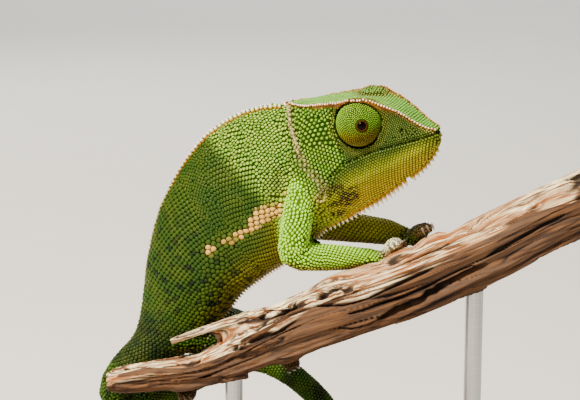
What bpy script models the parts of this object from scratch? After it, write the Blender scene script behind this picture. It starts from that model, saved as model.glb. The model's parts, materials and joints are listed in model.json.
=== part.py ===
"""A life-size flap-necked chameleon climbing along a cut length of dead branch, on a plain display stand.

The animal is laid out in millimetres about its shoulders and brought to metres at the end. +X is the way it
climbs, +Y is its left, +Z is up, and the origin is the middle of the stand's underside. Long parts are lofts
through rings, limbs are tapered tubes with mitred joints, and neighbours keep a small gap.
"""

import math

import bmesh
import bpy
from mathutils import Matrix, Vector

MM = 0.001
GAP = 0.3  # clear space between two neighbouring pieces
HALF_GAP = GAP / 2

# The shoulders stand this far from the middle of the base's underside.
SHOULDERS = Vector((-14.0, 1.0, 90.0))

# Head: snout tip from the shoulders, the way it looks, and its length.
SNOUT = Vector((35.9, -17.0, 20.4))
HEAD_YAW, HEAD_PITCH, HEAD_ROLL = math.radians(-25), math.radians(17), math.radians(6)
HEAD_LENGTH = 36.3
HEAD_FRONT, HEAD_RINGS = 0.75, 15  # the last ring is this far behind the snout tip
EYE_AT, EYE_RADIUS, EYE_SIDE = (-17.2, 7.4), 5.6, 5.5
EYE_INNER_WALL = 2.0  # the turret is cut flat this far from the head's middle
PUPIL_LOOKS = Vector((0.55, 1.0, 0.0))
EYEBALL_RADIUS, APERTURE_DEPTH = 1.5, 0.55

# Head outlines, each as (distance from snout, value), in the head's own frame.
CREST_HEIGHT = (
    (-37, 16.3), (-33, 15.3), (-29, 14.7), (-21, 13.9), (-15, 13.1), (-11, 11.1), (-7, 7.6), (-3, 2.8),
    (-0.7, 1.0),
)
CREST_WIDTH = (
    (-37, 1.2), (-33, 3.0), (-28, 5.3), (-21, 7.0), (-15, 7.1), (-10, 6.0), (-6, 4.4), (-3, 3.1),
    (-0.7, 1.9),
)
CROWN_RISE = ((-37, 0.2), (-31, 0.5), (-24, 0.0), (-17, -0.7), (-11, -0.6), (-6, 0.3), (-0.7, 0.3))
TEMPLE_WIDTH = (
    (-37, 4.0), (-30, 5.6), (-24, 6.2), (-17, 6.2), (-11, 5.6), (-6, 4.4), (-3, 3.3), (-0.7, 2.1),
)
CHEEK_WIDTH = (
    (-37, 8.0), (-31, 8.7), (-25, 8.4), (-18, 7.4), (-12, 6.5), (-7, 5.6), (-3, 4.1), (-0.7, 2.4),
)
CHEEK_HEIGHT = ((-37, 4.8), (-28, 4.9), (-18, 5.0), (-10, 3.6), (-4, 1.5), (-0.7, 0.3))
LIP_WIDTH = ((-37, 8.6), (-31, 9.2), (-25, 9.1), (-18, 8.1), (-12, 7.1), (-7, 6.0), (-3, 4.4), (-0.7, 2.6))
LIP_HEIGHT = ((-37, -5.6), (-31, -4.4), (-24, -1.1), (-15, 0.2), (-0.7, -0.4))
JAW_WIDTH = ((-37, 8.0), (-31, 8.5), (-25, 8.3), (-18, 7.3), (-12, 6.3), (-7, 5.2), (-3, 3.8), (-0.7, 2.0))
JAW_HEIGHT = ((-37, -10.0), (-30, -8.4), (-20, -5.7), (-10, -4.0), (-3, -2.4), (-0.7, -1.7))
THROAT_WIDTH = ((-37, 4.6), (-28, 4.0), (-18, 3.3), (-10, 2.7), (-3, 1.8), (-0.7, 1.0))
KEEL_HEIGHT = (
    (-37, -17.2), (-32, -16.1), (-27, -14.7), (-21, -13.0), (-14, -10.4), (-9, -8.7), (-5, -6.8), (-2, -4.4),
    (-0.7, -3.0),
)
MOUTH_LINE = (
    (3.0, -0.4), (-15.0, 0.2), (-22.3, -0.7), (-27.1, -2.9), (-30.3, -5.2), (-32.2, -9.5), (-33.0, -22.0)
)

# Trunk: back edge (x, z), belly edge (x, z), side of the middle (y), half width, and turn to the left.
TRUNK = (
    (-0.3, 24.6, 8.8, -6.6, -2.5, 7.6, -25),
    (-6.6, 24.3, 4.4, -11.6, -1.0, 8.3, -24),
    (-14.6, 21.0, 0.0, -15.4, 1.2, 8.9, -20),
    (-22.3, 15.0, -4.5, -19.0, 3.2, 9.3, -16),
    (-28.7, 6.3, -8.3, -21.9, 4.6, 9.3, -13),
    (-33.3, -3.2, -11.5, -24.6, 5.5, 8.9, -10),
    (-36.0, -12.8, -14.1, -28.0, 6.2, 8.2, -8),
    (-37.5, -21.6, -16.9, -31.8, 6.8, 7.4, -6),
    (-38.6, -29.4, -20.5, -36.4, 7.2, 6.7, -5),
    (-40.2, -36.0, -26.6, -42.0, 7.5, 6.1, -3),
    (-43.7, -40.8, -34.4, -48.0, 7.8, 5.4, -2),
    (-46.6, -44.4, -40.2, -51.2, 8.5, 4.7, 0),
)
TRUNK_STEPS, TRUNK_SIDES = 2, 20
BODY_PARTS = (("neck", 0, 2), ("chest", 2, 8), ("belly", 8, 16), ("pelvis", 16, 22))

# Tail: centre line and radius up to the coil, then a flat coil that tightens to the tip.
TAIL = (
    (-46.0, 10.0, -53.6, 4.3),
    (-43.4, 12.0, -57.4, 4.05),
    (-37.0, 13.2, -56.8, 3.85),
    (-29.0, 14.2, -53.0, 3.7),
    (-20.0, 14.2, -48.4, 3.6),
    (-10.6, 12.4, -45.0, 3.5),
    (-2.2, 10.6, -47.2, 3.4),
    (5.2, 9.6, -52.8, 3.2),
    (10.6, 9.2, -58.8, 2.85),
)
COIL_CENTRE, COIL_TURNS, COIL_KNOTS = Vector((5.0, 9.0, -65.2)), 1.22, 10
COIL_RADII, COIL_DRIFT, COIL_TUBE = (7.6, 2.7), 2.2, (2.4, 0.55)
TAIL_STEPS, TAIL_SIDES = 2, 12
TAIL_LENGTHS = 5

# Limbs: shoulder or hip, elbow or knee, wrist or ankle, and the four radii along them.
LIMBS = {
    "arm_right": ((3.4, -8.2, 7.4), (0.3, -10.6, -11.8), (23.8, 0.4, -15.4), (3.9, 3.6, 3.7, 2.5)),
    "arm_left": ((8.6, 5.2, 7.4), (2.6, 12.4, -8.2), (29.5, 4.8, -9.9), (3.9, 4.0, 4.6, 3.0)),
    "leg_right": ((-32.4, 4.4, -37.6), (-16.8, 8.4, -38.2), (-26.6, 2.8, -48.4), (4.1, 3.3, 3.0, 2.3)),
    "leg_left": ((-31.6, 12.0, -38.0), (-18.0, 23.0, -36.0), (-4.6, 4.6, -36.8), (4.1, 3.4, 3.0, 2.3)),
}
LIMB_NAMES = {"arm": ("upper_arm", "forearm", "hand"), "leg": ("thigh", "shin", "foot")}
LIMB_SIDES, LIMB_RINGS = 12, 6

# Feet: place along the perch, angle of the palm round it and its half thickness, then for the two toe bundles
# their sweep, number of toes, and how far their ends lie forward along the perch.
FEET = {
    "arm_right": (29.2, 56, 2.6, (-46, 3, 0.8), (78, 2, 0.6)),
    "arm_left": (35.6, 46, 3.0, (-38, 3, 3.6), (84, 2, 2.0)),
    "leg_right": (-27.5, 130, 2.6, (-46, 2, 0.8), (56, 3, 0.8)),
    "leg_left": (-4.6, 108, 2.6, (-44, 2, 1.5), (62, 3, 1.0)),
}
PALM_HALF_ANGLE, TOE_THICKNESS = 20, 1.9
TOE_WIDTH, TOE_END_SIZE, FOOT_SINK = 0.92, 0.72, 0.25
CLAW_LENGTH, CLAW_RADIUS, CLAW_TIP, CLAW_SIDES = 1.9, 0.42, 0.12, 5

# Perch: centre line and radius, from the broken end to the cut one.
PERCH = (
    (-46.7, -4.5, -46.2, 3.4),
    (-44.5, -4.7, -45.8, 4.3),
    (-35.0, -5.6, -44.0, 5.1),
    (-22.4, -7.0, -42.0, 5.5),
    (-9.9, -8.2, -36.6, 7.4),
    (2.5, -9.0, -30.1, 9.2),
    (14.8, -9.6, -25.0, 9.2),
    (27.2, -9.7, -20.4, 9.2),
    (39.5, -9.4, -14.6, 9.4),
    (51.8, -9.0, -8.5, 9.4),
    (64.0, -8.6, -2.0, 9.2),
    (77.5, -8.2, 4.4, 9.4),
)
PERCH_STEPS, PERCH_SIDES, PERCH_RIDGES = 2, 15, 0.035
# A long splinter lifts off the top of the perch near its broken end.
SPLINTER = (
    (-30.4, -7.6, -34.9, 1.7),
    (-27.0, -7.8, -33.5, 2.1),
    (-20.0, -8.0, -31.0, 2.5),
    (-11.0, -8.4, -28.6, 3.8),
    (-2.0, -8.8, -27.0, 4.2),
)

# Stand: a round-cornered base and two rods that end in the perch.
BASE_SIZE, BASE_CORNER, BASE_EDGE = (138.0, 86.0, 9.0), 14.0, 1.5
ROD_RADIUS, ROD_PLACES, ROD_DEPTH_IN_PERCH = 2.2, (-14.0, 46.0), 4.0
ROD_SIDES = 16


def spline_row(rows, place):
    """The row of numbers at this place on the smooth curve through the rows, counted in rows."""
    i = min(int(place), len(rows) - 2)
    t = place - i
    a, b = rows[max(i - 1, 0)], rows[i]
    c, d = rows[i + 1], rows[min(i + 2, len(rows) - 1)]
    return tuple(
        0.5 * (2 * q + (r - p) * t + (2 * p - 5 * q + 4 * r - s) * t**2 + (3 * q - p - 3 * r + s) * t**3)
        for p, q, r, s in zip(a, b, c, d)
    )


def smooth_rows(rows, steps):
    return [spline_row(rows, n / steps) for n in range((len(rows) - 1) * steps + 1)]


def outline(knots, x):
    """The value at x of a smooth outline through (x, value) pairs."""
    i = max(0, min(sum(1 for k, _ in knots if k < x) - 1, len(knots) - 2))
    (x0, v0), (x1, v1) = knots[i], knots[i + 1]

    def slope(n):
        n0, n1 = max(n - 1, 0), min(n + 1, len(knots) - 1)
        return (knots[n1][1] - knots[n0][1]) / (knots[n1][0] - knots[n0][0])

    t, width = (x - x0) / (x1 - x0), x1 - x0
    return (
        v0 * (1 + 2 * t) * (1 - t) ** 2
        + slope(i) * width * t * (1 - t) ** 2
        + v1 * t * t * (3 - 2 * t)
        + slope(i + 1) * width * t * t * (t - 1)
    )


def loft(rings, start_bulge=0.0, end_bulge=0.0):
    """A closed bmesh through rings of points, each end a fan whose middle stands out by its bulge."""
    bm = bmesh.new()
    loops = [[bm.verts.new(p) for p in ring] for ring in rings]
    for a, b in zip(loops, loops[1:]):
        for i in range(len(a)):
            j = (i + 1) % len(a)
            bm.faces.new((a[i], a[j], b[j], b[i]))
    for loop, neighbour, bulge in ((loops[0], loops[1], start_bulge), (loops[-1], loops[-2], end_bulge)):
        middle = sum((v.co for v in loop), Vector()) / len(loop)
        out = middle - sum((v.co for v in neighbour), Vector()) / len(neighbour)
        tip = bm.verts.new(middle + out.normalized() * bulge)
        for i in range(len(loop)):
            bm.faces.new((loop[i], loop[(i + 1) % len(loop)], tip))
    bmesh.ops.recalc_face_normals(bm, faces=bm.faces)
    return bm


def clip(bm, point, normal):
    """Keeps what lies on the normal's side of the plane, and closes the cut."""
    cut = bmesh.ops.bisect_plane(
        bm, geom=bm.verts[:] + bm.edges[:] + bm.faces[:], plane_co=point, plane_no=normal, clear_inner=True
    )
    edges = [e for e in cut["geom_cut"] if isinstance(e, bmesh.types.BMEdge)]
    bmesh.ops.contextual_create(bm, geom=edges)
    bmesh.ops.recalc_face_normals(bm, faces=bm.faces)
    return bm


def tube(points, radii, sides, side_hint=Vector((0, 1, 0))):
    """Rings of a round tube along points, its rings turned as little as possible on the way."""
    rings, side = [], side_hint
    for n, (point, radius) in enumerate(zip(points, radii)):
        way = (points[min(n + 1, len(points) - 1)] - points[max(n - 1, 0)]).normalized()
        side = (side - way * side.dot(way)).normalized()
        up = side.cross(way)
        angles = [2 * math.pi * k / sides for k in range(sides)]
        rings.append([point + (up * math.cos(a) + side * math.sin(a)) * radius for a in angles])
    return rings


def new_object(name, bm, material, collection):
    bmesh.ops.triangulate(bm, faces=[f for f in bm.faces if len(f.verts) > 4])
    mesh = bpy.data.meshes.new(name)
    bm.to_mesh(mesh)
    bm.free()
    mesh.materials.append(material)
    mesh.shade_smooth()
    obj = bpy.data.objects.new(name, mesh)
    collection.objects.link(obj)
    return obj


def carve(obj, *cutters):
    """Cuts the cutters from obj and keeps the largest piece that is left."""
    for cutter in cutters:
        modifier = obj.modifiers.new("carve", "BOOLEAN")
        modifier.operation = "DIFFERENCE"
        modifier.solver = "EXACT"
        modifier.object = cutter
    graph = bpy.context.evaluated_depsgraph_get()
    cut = bpy.data.meshes.new_from_object(obj.evaluated_get(graph))
    obj.modifiers.clear()
    obj.data = cut
    keep_largest(obj)
    return obj


def islands(bm):
    """The separate bodies in a bmesh, as lists of vertices, largest first."""
    left, found = set(bm.verts), []
    while left:
        body, edge = set(), [left.pop()]
        while edge:
            vert = edge.pop()
            body.add(vert)
            near = {e.other_vert(vert) for e in vert.link_edges} & left
            left -= near
            edge.extend(near)
        found.append(list(body))
    return sorted(found, key=len, reverse=True)


def keep_largest(obj):
    bm = bmesh.new()
    bm.from_mesh(obj.data)
    for body in islands(bm)[1:]:
        bmesh.ops.delete(bm, geom=body, context="VERTS")
    bmesh.ops.remove_doubles(bm, verts=bm.verts, dist=0.002)
    bmesh.ops.dissolve_degenerate(bm, edges=bm.edges, dist=0.002)
    bm.to_mesh(obj.data)
    bm.free()


def head_frame():
    """From the head's frame, x forward from the snout and y to its left, to the animal's."""
    turn = Matrix.Rotation(HEAD_YAW, 4, "Z") @ Matrix.Rotation(-HEAD_PITCH, 4, "Y")
    turn = turn @ Matrix.Rotation(HEAD_ROLL, 4, "X")
    return Matrix.Translation(SNOUT) @ turn


def head_section(x, grow=0.0):
    """The head's outline at x: a half section from crown to keel, smoothed, mirrored and grown outwards."""
    crest, crest_side = outline(CREST_HEIGHT, x), outline(CREST_WIDTH, x)
    keel = outline(KEEL_HEIGHT, x)
    crown = crest + outline(CROWN_RISE, x)
    half = [
        (0.0, crown),
        (0.55 * crest_side, crest + 0.6 * outline(CROWN_RISE, x)),
        (crest_side, crest),
        (outline(TEMPLE_WIDTH, x), crest - 0.16 * (crest - keel) ** 0.9),
        (outline(CHEEK_WIDTH, x), outline(CHEEK_HEIGHT, x)),
        (outline(LIP_WIDTH, x), outline(LIP_HEIGHT, x)),
        (outline(JAW_WIDTH, x), outline(JAW_HEIGHT, x)),
        (outline(THROAT_WIDTH, x), 0.72 * keel + 0.28 * outline(JAW_HEIGHT, x)),
        (0.0, keel),
    ]
    mirrored = [(-y, z) for y, z in reversed(half[1:-1])]
    closed = half + mirrored
    closed = closed[-2:] + closed + closed[:2]
    points = [spline_row(closed, 2 + n / 2) for n in range(2 * (len(closed) - 4))]
    middle = (crown + keel) / 2
    wider, taller = 1 + grow / half[4][0], 1 + grow / (crown - middle)
    return [Vector((x, y * wider, middle + (z - middle) * taller)) for y, z in points]


def make_head(material, pieces, helpers):
    """The head, cut along the mouth into skull and jaw, with a socket for each eye turret."""
    places = [-HEAD_LENGTH + (HEAD_LENGTH - HEAD_FRONT) * n / HEAD_RINGS for n in range(HEAD_RINGS + 1)]
    bm = loft([head_section(x) for x in places], end_bulge=HEAD_FRONT)
    bm.transform(head_frame())
    head = new_object("head", bm, material, pieces)
    grown = loft([head_section(x, 1.4 * GAP) for x in [places[0] - GAP, *places]], end_bulge=1.0)
    grown.transform(head_frame())
    head_cutter = new_object("head_cutter", grown, material, helpers)
    mouth = mouth_cutter(helpers)
    carve_keeping_both(head, mouth, pieces)
    sockets = [eye_turret(side, GAP, "socket", material, helpers) for side in (1, -1)]
    carve(head, *sockets)
    return head_cutter


def mouth_cutter(helpers):
    """A thin wall through the head along the mouth and down behind the jaw."""
    half_width, line = 16.0, [Vector((x, 0, z)) for x, z in MOUTH_LINE]
    upper, lower = [], []
    for n, point in enumerate(line):
        way = (line[min(n + 1, len(line) - 1)] - line[max(n - 1, 0)]).normalized()
        across = Vector((-way.z, 0, way.x)) * HALF_GAP
        upper.append(point + across)
        lower.append(point - across)
    bm = bmesh.new()
    walls = [
        [bm.verts.new(p + Vector((0, side, 0))) for p in upper + lower[::-1]]
        for side in (-half_width, half_width)
    ]
    count = len(walls[0])
    for i in range(count):
        j = (i + 1) % count
        bm.faces.new((walls[0][i], walls[0][j], walls[1][j], walls[1][i]))
    for n in range(len(line) - 1):
        for wall in walls:
            bm.faces.new((wall[n], wall[n + 1], wall[count - 2 - n], wall[count - 1 - n]))
    bmesh.ops.recalc_face_normals(bm, faces=bm.faces)
    bm.transform(head_frame())
    cutter = new_object("mouth_cutter", bm, bpy.data.materials[0], helpers)
    return cutter


def carve_keeping_both(head, cutter, pieces):
    """Cuts head along the cutter: the larger piece stays, and the next becomes the jaw."""
    modifier = head.modifiers.new("mouth", "BOOLEAN")
    modifier.operation = "DIFFERENCE"
    modifier.solver = "EXACT"
    modifier.object = cutter
    graph = bpy.context.evaluated_depsgraph_get()
    cut = bpy.data.meshes.new_from_object(head.evaluated_get(graph))
    head.modifiers.clear()
    head.data = cut
    jaw = bpy.data.objects.new("jaw", cut.copy())
    pieces.objects.link(jaw)
    for obj, wanted in ((head, 0), (jaw, 1)):
        bm = bmesh.new()
        bm.from_mesh(obj.data)
        bodies = islands(bm)
        bodies.sort(key=lambda body: max((head_frame().inverted() @ v.co).z for v in body), reverse=True)
        for n, body in enumerate(bodies):
            if n != wanted:
                bmesh.ops.delete(bm, geom=body, context="VERTS")
        bmesh.ops.dissolve_degenerate(bm, edges=bm.edges, dist=0.002)
        bm.to_mesh(obj.data)
        bm.free()


def eye_turret(side, grow, name, material, collection):
    """The domed turret of one eye, flat on its inner side. A grown one is the socket's cutter."""
    bm = bmesh.new()
    bmesh.ops.create_uvsphere(bm, u_segments=18, v_segments=10, radius=EYE_RADIUS + grow)
    bm.transform(Matrix.Rotation(math.pi / 2, 4, "X"))
    bm.transform(Matrix.Translation((EYE_AT[0], side * EYE_SIDE, EYE_AT[1])))
    clip(bm, Vector((0, side * (EYE_INNER_WALL - grow), 0)), Vector((0, side, 0)))
    bm.transform(head_frame())
    return new_object(name, bm, material, collection)


def make_eyes(skin, eye, pieces, helpers):
    """Each eye is a skin turret with a small round opening, and the eyeball seated behind it."""
    for side, word in ((1, "left"), (-1, "right")):
        looks = Vector((PUPIL_LOOKS.x, side * PUPIL_LOOKS.y, PUPIL_LOOKS.z)).normalized()
        centre = Vector((EYE_AT[0], side * EYE_SIDE, EYE_AT[1]))
        ball_at = head_frame() @ (centre + looks * (EYE_RADIUS - EYEBALL_RADIUS - APERTURE_DEPTH + 0.7))
        turret = eye_turret(side, 0, "eye_turret_" + word, skin, pieces)
        hollow = ball("hollow_" + word, ball_at, EYEBALL_RADIUS + GAP, eye, helpers)
        carve(turret, hollow)
        ball("eyeball_" + word, ball_at, EYEBALL_RADIUS, eye, pieces)


def ball(name, centre, radius, material, collection):
    bm = bmesh.new()
    bmesh.ops.create_uvsphere(bm, u_segments=12, v_segments=6, radius=radius)
    bm.transform(Matrix.Translation(centre))
    return new_object(name, bm, material, collection)


def trunk_rings(grow=0.0):
    """Rings of the trunk, tall and narrow with a keel above and below."""
    rings = []
    for back_x, back_z, belly_x, belly_z, y, half_width, turn in smooth_rows(TRUNK, TRUNK_STEPS):
        turn = math.radians(turn)
        middle_x = (back_x + belly_x) / 2

        def on_middle(x, z):
            return Vector((x, y + (x - middle_x) * math.tan(turn), z))

        back, belly = on_middle(back_x, back_z), on_middle(belly_x, belly_z)
        middle, up = (back + belly) / 2, (back - belly) / 2
        up *= 1 + grow / up.length
        left = Vector((-math.sin(turn), math.cos(turn), 0)) * (half_width + grow)
        ring = []
        for k in range(TRUNK_SIDES):
            a = 2 * math.pi * k / TRUNK_SIDES
            bulge = abs(math.sin(a)) ** 1.12
            ring.append(middle + up * math.cos(a) + left * math.copysign(bulge, math.sin(a)))
        rings.append(ring)
    return rings


def tail_path():
    """Centre line and radius of the tail, from the pelvis to the tip of its coil."""
    root = TRUNK[-1]
    start = ((root[0] + root[2]) / 2, root[4], (root[1] + root[3]) / 2, root[5])
    before = TRUNK[-2]
    inside = ((before[0] + before[2]) / 2, before[4], (before[1] + before[3]) / 2, before[5])
    knots = [inside, start, *TAIL]
    for n in range(COIL_KNOTS):
        share = n / (COIL_KNOTS - 1)
        angle = -2 * math.pi * COIL_TURNS * share + math.radians(6)
        radius = COIL_RADII[0] + (COIL_RADII[1] - COIL_RADII[0]) * share
        knots.append((
            COIL_CENTRE.x + radius * math.cos(angle),
            COIL_CENTRE.y + COIL_DRIFT * share,
            COIL_CENTRE.z + radius * math.sin(angle),
            COIL_TUBE[0] + (COIL_TUBE[1] - COIL_TUBE[0]) * share,
        ))
    rows = smooth_rows(knots, TAIL_STEPS)[TAIL_STEPS:]
    return [Vector(row[:3]) for row in rows], [row[3] for row in rows]


def ring_plane(ring):
    """Middle of a ring, and the normal of its plane in the way the rings follow each other."""
    middle = sum(ring, Vector()) / len(ring)
    quarter = len(ring) // 4
    normal = (ring[quarter] - middle).cross(ring[0] - middle)
    return middle, normal.normalized()


def ring_part(name, rings, first, last, material, collection, end_bulge=0.0):
    """The body between two rings of a long loft, its ends drawn in so that neighbours keep their gap."""
    ring_list = [list(ring) for ring in rings[first : last + 1]]
    for end, inward in ((0, 1), (-1, -2)):
        if first + len(ring_list) == len(rings) and end == -1 and end_bulge:
            continue
        middle, normal = ring_plane(ring_list[end])
        inner = sum(ring_list[inward], Vector()) / len(ring_list[inward])
        step = normal * math.copysign(HALF_GAP, normal.dot(inner - middle))
        ring_list[end] = [point + step for point in ring_list[end]]
    bulge = end_bulge if last == len(rings) - 1 else 0.0
    return new_object(name, loft(ring_list, end_bulge=bulge), material, collection)


def make_trunk(material, pieces, helpers):
    rings = trunk_rings()
    for name, first, last in BODY_PARTS:
        ring_part(name, rings, first, last, material, pieces)
    return new_object("trunk_cutter", loft(trunk_rings(GAP)), material, helpers)


def make_tail(material, pieces):
    """The tail in lengths, each cut square to its own line."""
    points, radii = tail_path()
    rings = tube(points, radii, TAIL_SIDES)
    middle, normal = ring_plane(trunk_rings()[-1])
    way = (points[1] - points[0]).normalized()
    rings[0] = [point + way * (middle - point).dot(normal) / way.dot(normal) for point in rings[0]]
    last = len(rings) - 1
    cuts = [round(last * n / TAIL_LENGTHS) for n in range(TAIL_LENGTHS + 1)]
    for n, (first, end) in enumerate(zip(cuts, cuts[1:])):
        ring_part(f"tail_{n + 1}", rings, first, end, material, pieces, end_bulge=radii[-1])


def perch_place(x):
    """Centre, radius and direction of the perch where its centre line passes x."""
    rows = smooth_rows(PERCH, 12)
    n = min(range(1, len(rows) - 1), key=lambda k: abs(rows[k][0] - x))
    way = (Vector(rows[n + 1][:3]) - Vector(rows[n - 1][:3])).normalized()
    return Vector(rows[n][:3]), rows[n][3], way


def perch_rings(rows, grow=0.0):
    """Rings of the branch, lightly ridged where the wood has weathered into long ribs."""
    rings = []
    for n, row in enumerate(rows):
        way = Vector(rows[min(n + 1, len(rows) - 1)][:3]) - Vector(rows[max(n - 1, 0)][:3])
        up, far = round_the_perch(way)
        ring = []
        for k in range(PERCH_SIDES):
            a = 2 * math.pi * k / PERCH_SIDES
            ridge = 1 + PERCH_RIDGES * (math.sin(3 * a + 0.18 * n) + 0.6 * math.sin(7 * a - 0.36 * n))
            ring.append(Vector(row[:3]) + (up * math.cos(a) + far * math.sin(a)) * (row[3] * ridge + grow))
        rings.append(ring)
    return rings


def round_the_perch(way):
    """The two ways across the perch that angles round it are counted from: up, then to the left."""
    up = (way.cross(Vector((0, 1, 0)))).normalized()
    return up, up.cross(way).normalized()


def perch_solid(name, grow, material, collection):
    """The branch and its splinter as one body."""
    stem = new_object(
        name, loft(perch_rings(smooth_rows(PERCH, PERCH_STEPS), grow), start_bulge=0.8),
        material, collection
    )
    splinter = new_object(
        name + "_splinter", loft(perch_rings(smooth_rows(SPLINTER, PERCH_STEPS), grow)),
        material, collection
    )
    join = stem.modifiers.new("splinter", "BOOLEAN")
    join.operation = "UNION"
    join.solver = "EXACT"
    join.object = splinter
    joined = bpy.data.meshes.new_from_object(stem.evaluated_get(bpy.context.evaluated_depsgraph_get()))
    stem.modifiers.clear()
    stem.data = joined
    bpy.data.objects.remove(splinter)
    keep_largest(stem)
    return stem


def make_perch(material, pieces, helpers):
    return perch_solid("perch", 0.0, material, pieces), perch_solid("perch_cutter", GAP, material, helpers)


def limb_tube(start, end, radii, over_start, over_end, grow=0.0):
    """A tapered, slightly full tube from start to end, running on past each by the given length."""
    way = (end - start).normalized()
    length = (end - start).length
    first, last = -over_start, length + over_end
    points, sizes = [], []
    for n in range(LIMB_RINGS):
        at = first + (last - first) * n / (LIMB_RINGS - 1)
        share = min(max(at / length, 0.0), 1.0)
        size = radii[0] + (radii[1] - radii[0]) * share + 0.35 * math.sin(math.pi * share)
        past = max(-at, at - length, 0.0)
        limit = over_start if at < 0 else over_end
        if past > 0:
            size *= math.sqrt(max(1 - (past / (limit + 0.35)) ** 2, 0.04))
        points.append(start + way * at)
        sizes.append(size + grow)
    return tube(points, sizes, LIMB_SIDES)


def mitten_rings(limb, first, last, grow=0.0):
    """Rings of a foot's pads from one angle round the perch to another, rounded outside."""
    x, palm, palm_thickness, inner, outer = FEET[limb]
    centre, radius, way = perch_place(x)
    up, far = round_the_perch(way)
    ends = {sweep > 0: (abs(sweep), toes, ahead) for sweep, toes, ahead in (inner, outer)}
    rings, count = [], max(4, round(abs(last - first) / 11))
    for n in range(count + 1):
        angle = first + (last - first) * n / count
        reach, toes, ahead = ends[angle > 0]
        share = abs(angle) / reach
        half_width = TOE_WIDTH * toes * (1 - (1 - TOE_END_SIZE) * share**2) + 0.45 * (1 - share)
        thick = palm_thickness + (TOE_THICKNESS - palm_thickness) * min(share * 1.6, 1)
        close = math.sqrt(max(1 - max(share - 0.86, 0) ** 2 / 0.0225, 0.15))
        turn = math.radians(palm + angle)
        out = up * math.cos(turn) + far * math.sin(turn)
        middle = centre + out * (radius + thick * close - FOOT_SINK) + way * ahead * share
        ring = []
        for k in range(LIMB_SIDES):
            a = 2 * math.pi * k / LIMB_SIDES
            ring.append(
                middle
                + way * math.sin(a) * (half_width * (0.45 + 0.55 * close) + grow)
                + out * math.cos(a) * (thick * close + grow)
            )
        rings.append(ring)
    return rings


def perch_axis_plane(limb, angle):
    """The plane through the perch's centre line at this angle, and its normal towards larger angles."""
    centre, _, way = perch_place(FEET[limb][0])
    up, far = round_the_perch(way)
    turn = math.radians(FEET[limb][1] + angle)
    return centre, far * math.cos(turn) - up * math.sin(turn)


def make_foot(limb, name, side, material, claw, pieces, helpers, perch_cutter):
    """A foot grips with two bundles of joined toes either side of its palm."""
    inner, outer = FEET[limb][3:]
    reach = {"inner": inner, "outer": outer}
    low, high = sorted((inner[0], outer[0]))
    whole = loft(mitten_rings(limb, low, high))
    palm = whole.copy()
    for edge, way in ((-PALM_HALF_ANGLE, 1), (PALM_HALF_ANGLE, -1)):
        point, normal = perch_axis_plane(limb, edge)
        clip(palm, point + normal * way * HALF_GAP, normal * way)
    carve(new_object(f"{name}_{side}", palm, material, pieces), perch_cutter)
    for word, (sweep, toes, ahead) in reach.items():
        way = 1 if sweep > 0 else -1
        bundle = whole.copy()
        point, normal = perch_axis_plane(limb, PALM_HALF_ANGLE * way)
        clip(bundle, point + normal * way * HALF_GAP, normal * way)
        carve(new_object(f"{name}_{side}_{word}_toes", bundle, material, pieces), perch_cutter)
        for toe in range(toes):
            make_claw(f"{name}_{side}_{word}_claw_{toe + 1}", limb, reach[word], toe, claw, pieces)
    whole.free()
    grown = loft(mitten_rings(limb, low, high, GAP))
    return new_object(f"mitten_cutter_{limb}", grown, material, helpers)


def make_claw(name, limb, bundle, toe, material, pieces):
    """One hooked claw at the end of a toe, its tip bent in towards the perch."""
    x, palm = FEET[limb][:2]
    sweep, toes, ahead = bundle
    centre, radius, way = perch_place(x)
    up, far = round_the_perch(way)
    aside = ahead + (toe - (toes - 1) / 2) * 2 * TOE_WIDTH * TOE_END_SIZE
    turn = 1 if sweep > 0 else -1
    points, sizes, steps = [], [], 3
    for n in range(steps):
        share = n / (steps - 1)
        height = radius + 1.7 - 0.35 * share - 0.5 * share**2
        start = palm + sweep + turn * math.degrees((GAP + 0.12) / height)
        angle = math.radians(start + turn * math.degrees(CLAW_LENGTH * share / height))
        points.append(centre + way * aside + (up * math.cos(angle) + far * math.sin(angle)) * height)
        sizes.append(CLAW_RADIUS + (CLAW_TIP - CLAW_RADIUS) * share)
    bm = loft(tube(points, sizes, CLAW_SIDES, side_hint=way), end_bulge=CLAW_TIP)
    new_object(name, bm, material, pieces)


def make_limb(limb, skin, claw, pieces, helpers, body_cutters, perch_cutter):
    """Upper and lower length of a limb, mitred where they meet, and its foot."""
    root, bend, end = (Vector(p) for p in LIMBS[limb][:3])
    radii = LIMBS[limb][3]
    kind, side = limb.split("_")
    upper_name, lower_name, foot_name = LIMB_NAMES[kind]
    foot_cutter = make_foot(limb, foot_name, side, skin, claw, pieces, helpers, perch_cutter)

    mitre = ((bend - root).normalized() + (end - bend).normalized()).normalized()
    upper = loft(limb_tube(root, bend, radii[:2], 2.0, radii[1] + 0.3))
    clip(upper, bend - mitre * HALF_GAP, -mitre)
    upper_obj = new_object(f"{upper_name}_{side}", upper, skin, pieces)
    carve(upper_obj, *body_cutters)

    lower = loft(limb_tube(bend, end, radii[2:], radii[2] + 0.3, 2.6))
    clip(lower, bend + mitre * HALF_GAP, mitre)
    lower_obj = new_object(f"{lower_name}_{side}", lower, skin, pieces)
    carve(lower_obj, foot_cutter, perch_cutter, *body_cutters)


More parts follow.
